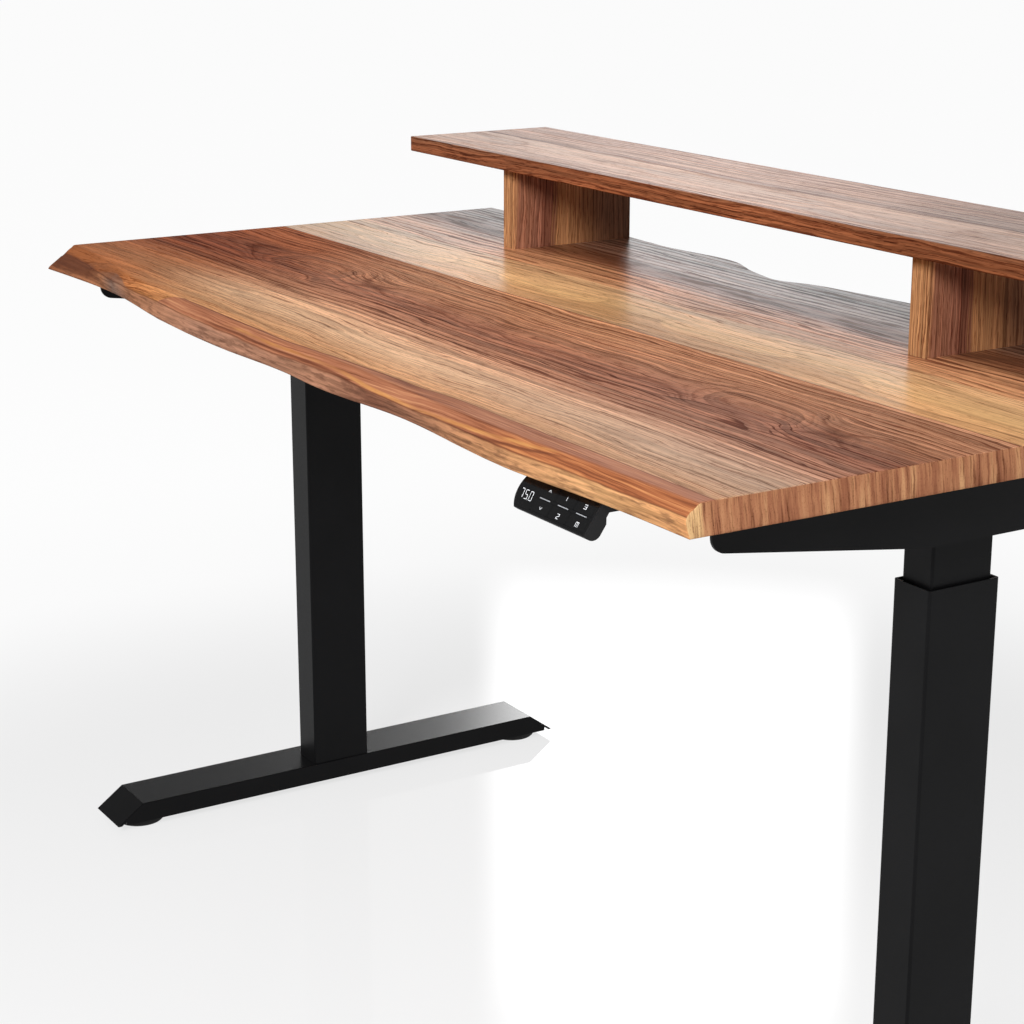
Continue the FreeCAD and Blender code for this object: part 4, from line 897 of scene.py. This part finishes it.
# Ends of the seven segments, in columns and half heights, and the segments of each digit
SEGMENTS = {
    "a": ((0, 2), (1, 2)), "b": ((1, 2), (1, 1)), "c": ((1, 1), (1, 0)), "d": ((1, 0), (0, 0)),
    "e": ((0, 0), (0, 1)), "f": ((0, 1), (0, 2)), "g": ((0, 1), (1, 1)),
}
DIGITS = {"7": "abc", "5": "afgcd", "0": "abcdef"}


def segment_digits(text, left, low, wide, tall, pitch, lean, gap):
    """Lines of slanted seven-segment digits; a point takes no place of its own."""
    lines, place = [], left
    for sign in text:
        if sign == ".":
            x = place - pitch + wide + (pitch - wide) * POINT_PLACE
            lines.append([(x + end, low) for end in POINT_ENDS])
            continue
        for segment in DIGITS[sign]:
            (ax, ay), (bx, by) = SEGMENTS[segment]
            a = Vector((place + ax * wide + ay * tall / 2 * lean, low + ay * tall / 2))
            b = Vector((place + bx * wide + by * tall / 2 * lean, low + by * tall / 2))
            trim = (b - a).normalized() * gap
            lines.append([tuple(a + trim), tuple(b - trim)])
        place += pitch
    return lines


def letter(shape, x, y, wide, tall):
    """Lines of a sign that is given on a unit square, drawn about a middle point."""
    return [[(x + (px - 0.5) * wide, y + (py - 0.5) * tall) for px, py in line] for line in shape]


# Lines of the signs on a unit square
UP_MARK = [[(0, 0), (0.5, 1), (1, 0)]]
DOWN_MARK = [[(0, 1), (0.5, 0), (1, 1)]]
ONE = [[(0.5, 1), (0.5, 0)]]
TWO = [[(0, 1), (1, 1), (1, 0.65), (0, 0.25), (0, 0), (1, 0)]]
THREE = [[(0, 1), (1, 1), (1, 0), (0, 0)], [(0.2, 0.5), (1, 0.5)]]
MEMORY = [[(0, 0), (0, 1), (1, 1), (1, 0)], [(0.5, 1), (0.5, 0)]]

# Name, body, shape, middle, width and height, and width of the strokes, in millimetres on the face
SIGNS = [
    ("sign_up", "key_up", UP_MARK, (37.2, 23.7), (3.4, 1.9), 0.37),
    ("sign_down", "key_down", DOWN_MARK, (36.2, 6.6), (3.4, 2.0), 0.37),
    ("sign_1", "key_1", ONE, (64.0, 23.0), (2.2, 3.4), 0.36),
    ("sign_2", "key_2", TWO, (63.9, 6.2), (3.4, 4.4), 0.38),
    ("sign_3", "key_3", THREE, (92.6, 23.0), (3.9, 3.8), 0.38),
    ("sign_memory", "key_memory", MEMORY, (93.4, 6.4), (3.9, 4.2), 0.36),
]
# The signs are raised strokes and no lamps; their glow is painted light that keeps them white
sign_painted_glow = lit("sign_painted_glow", srgb(232, 234, 238), strength=0.62)
for name, key, shape, middle, size, width in SIGNS:
    strokes(name, letter(shape, *middle, *size), width, SIGN_HEIGHT, sign_painted_glow, key)

reading = segment_digits("75.0", left=-0.5, low=9.0, wide=4.1, tall=8.2, pitch=7.2, lean=-0.13, gap=0.35)
display_white = lit("display_white", srgb(240, 242, 246), strength=0.9)
strokes("display_digits", reading, DIGIT_STROKE, DIGIT_HEIGHT, display_white, "desk")


# Floor, light and camera

def shows_plain(s):
    """One for what the camera sees straight, in a mirror or through glass."""
    path = s.node("ShaderNodeLightPath")
    straight = s.calc("MAXIMUM", path.outputs["Is Camera Ray"], path.outputs["Is Glossy Ray"])
    return s.calc("MAXIMUM", straight, path.outputs["Is Transmission Ray"])


def floor():
    """Pale glossy floor that fades to white and keeps a share of the shadow."""
    reach = 40
    corners = [(-reach, -reach, 0), (reach, -reach, 0), (reach, reach, 0), (-reach, reach, 0)]
    mesh = bpy.data.meshes.new("floor")
    mesh.from_pydata(corners, [], [(0, 1, 2, 3)])
    s = Shader("floor_white")
    place = s.place()
    cloud = s.noise(place, 0.8, 2, 0.5)
    length = s.node("ShaderNodeVectorMath", operation="LENGTH")
    s.put(length.inputs[0], place)
    away = length.outputs["Value"]
    tone = s.ramp(cloud, [(0.3, srgb(238, 238, 239)), (0.7, srgb(242, 242, 243))])
    s.set(Base_Color=tone, Roughness=0.06, Specular_IOR_Level=s.fade(away, *POLISH_ENDS, 0.5, 0.0))
    glow = s.fade(away, *GLOW_ENDS, *FLOOR_GLOW)
    white = s.node("ShaderNodeEmission")
    blend = s.node("ShaderNodeMixShader")
    s.put(blend.inputs[0], s.calc("MULTIPLY", shows_plain(s), glow))
    s.put(blend.inputs[1], s.bsdf.outputs[0])
    s.put(blend.inputs[2], white.outputs[0])
    mirror = s.node("ShaderNodeBsdfGlossy")
    mirror.inputs["Roughness"].default_value = 0.03
    polished = s.node("ShaderNodeMixShader")
    grazing = s.node("ShaderNodeFresnel")
    grazing.inputs["IOR"].default_value = FLOOR_POLISH
    near = s.fade(away, *POLISH_ENDS, 1.0, 0.0)
    s.put(polished.inputs[0], s.calc("MULTIPLY", grazing.outputs[0], near))
    s.put(polished.inputs[1], blend.outputs[0])
    s.put(polished.inputs[2], mirror.outputs[0])
    s.put(s.out.inputs[0], polished.outputs[0])
    mesh.materials.append(s.material)
    made = bpy.data.objects.new("floor", mesh)
    bpy.context.scene.collection.objects.link(made)


def world():
    """Dim surround with a darker part, a low white backdrop with a bright wall, and a window over it."""
    made = bpy.data.worlds.new("studio")
    bpy.context.scene.world = made
    made.use_nodes = True
    s = Nodes(made.node_tree)
    x, y, z = s.split(s.place("Generated"))
    turn = s.calc("ARCTAN2", y, s.calc("MULTIPLY", x, -1.0))

    def turns(*degrees):
        return [math.radians(angle) for angle in degrees]

    def heights(*degrees):
        return [math.sin(math.radians(angle)) for angle in degrees]

    backdrop = s.fade(z, *heights(12.5, 16), 1.0, 0.0)
    wall = s.product(s.fade(turn, *turns(25, 28)), s.fade(turn, *turns(42, 62), 1.0, 0.3), backdrop)
    window = s.product(
        s.within(turn, *turns(30.4, 32, 39.8, 41.4)), s.within(z, *heights(15.5, 17.5, 27, 31)))
    dark = s.product(s.within(turn, *turns(-10, 0, 24, 29)), s.within(z, *heights(16, 19, 32, 40)))
    dim = s.product(s.fade(z, 0.1, 0.6, *SURROUND), s.total((dark, -0.8), 1.0))
    level = s.total(dim, (wall, WALL), (window, WINDOW))
    straight = s.node("ShaderNodeLightPath").outputs["Is Camera Ray"]
    plain = s.calc("MULTIPLY", s.calc("MAXIMUM", straight, backdrop), shows_plain(s))
    level = s.calc("MAXIMUM", level, plain)
    back = s.node("ShaderNodeBackground")
    out = s.node("ShaderNodeOutputWorld")
    s.put(back.inputs["Color"], s.join(level, level, level))
    s.put(out.inputs[0], back.outputs[0])


def softbox(name, place, target, size, power, mirrored=True):
    """Rectangular lamp that faces a target."""
    light = bpy.data.lights.new(name, "AREA")
    light.shape = "RECTANGLE"
    light.size, light.size_y = size
    light.energy = power
    made = bpy.data.objects.new(name, light)
    made.location = place
    made.rotation_euler = (Vector(target) - Vector(place)).to_track_quat("-Z", "Y").to_euler()
    made.visible_glossy = mirrored
    bpy.context.scene.collection.objects.link(made)


def camera(place, turn, down, lens):
    """Camera turned from the y axis and tilted down, in degrees, with a lens in millimetres."""
    data = bpy.data.cameras.new("camera")
    data.sensor_width = 36
    data.lens = lens
    made = bpy.data.objects.new("camera", data)
    made.location = place
    made.rotation_euler = (math.radians(90 - down), 0, math.radians(turn))
    bpy.context.scene.collection.objects.link(made)
    bpy.context.scene.camera = made


floor()
world()
softbox("key_light", (3.5, -4.7, 4.35), target=(0.1, 0.0, 0.75), size=(2.3, 2.3), power=545, mirrored=False)
softbox("top_light", (0.4, 0.3, 3.2), target=(0.2, 0.1, 0.75), size=(2.6, 1.8), power=14)
camera((2.0750, -1.3565, 1.2586), turn=58.44, down=16.02, lens=79.27)
bpy.context.scene.view_settings.view_transform = "Standard"
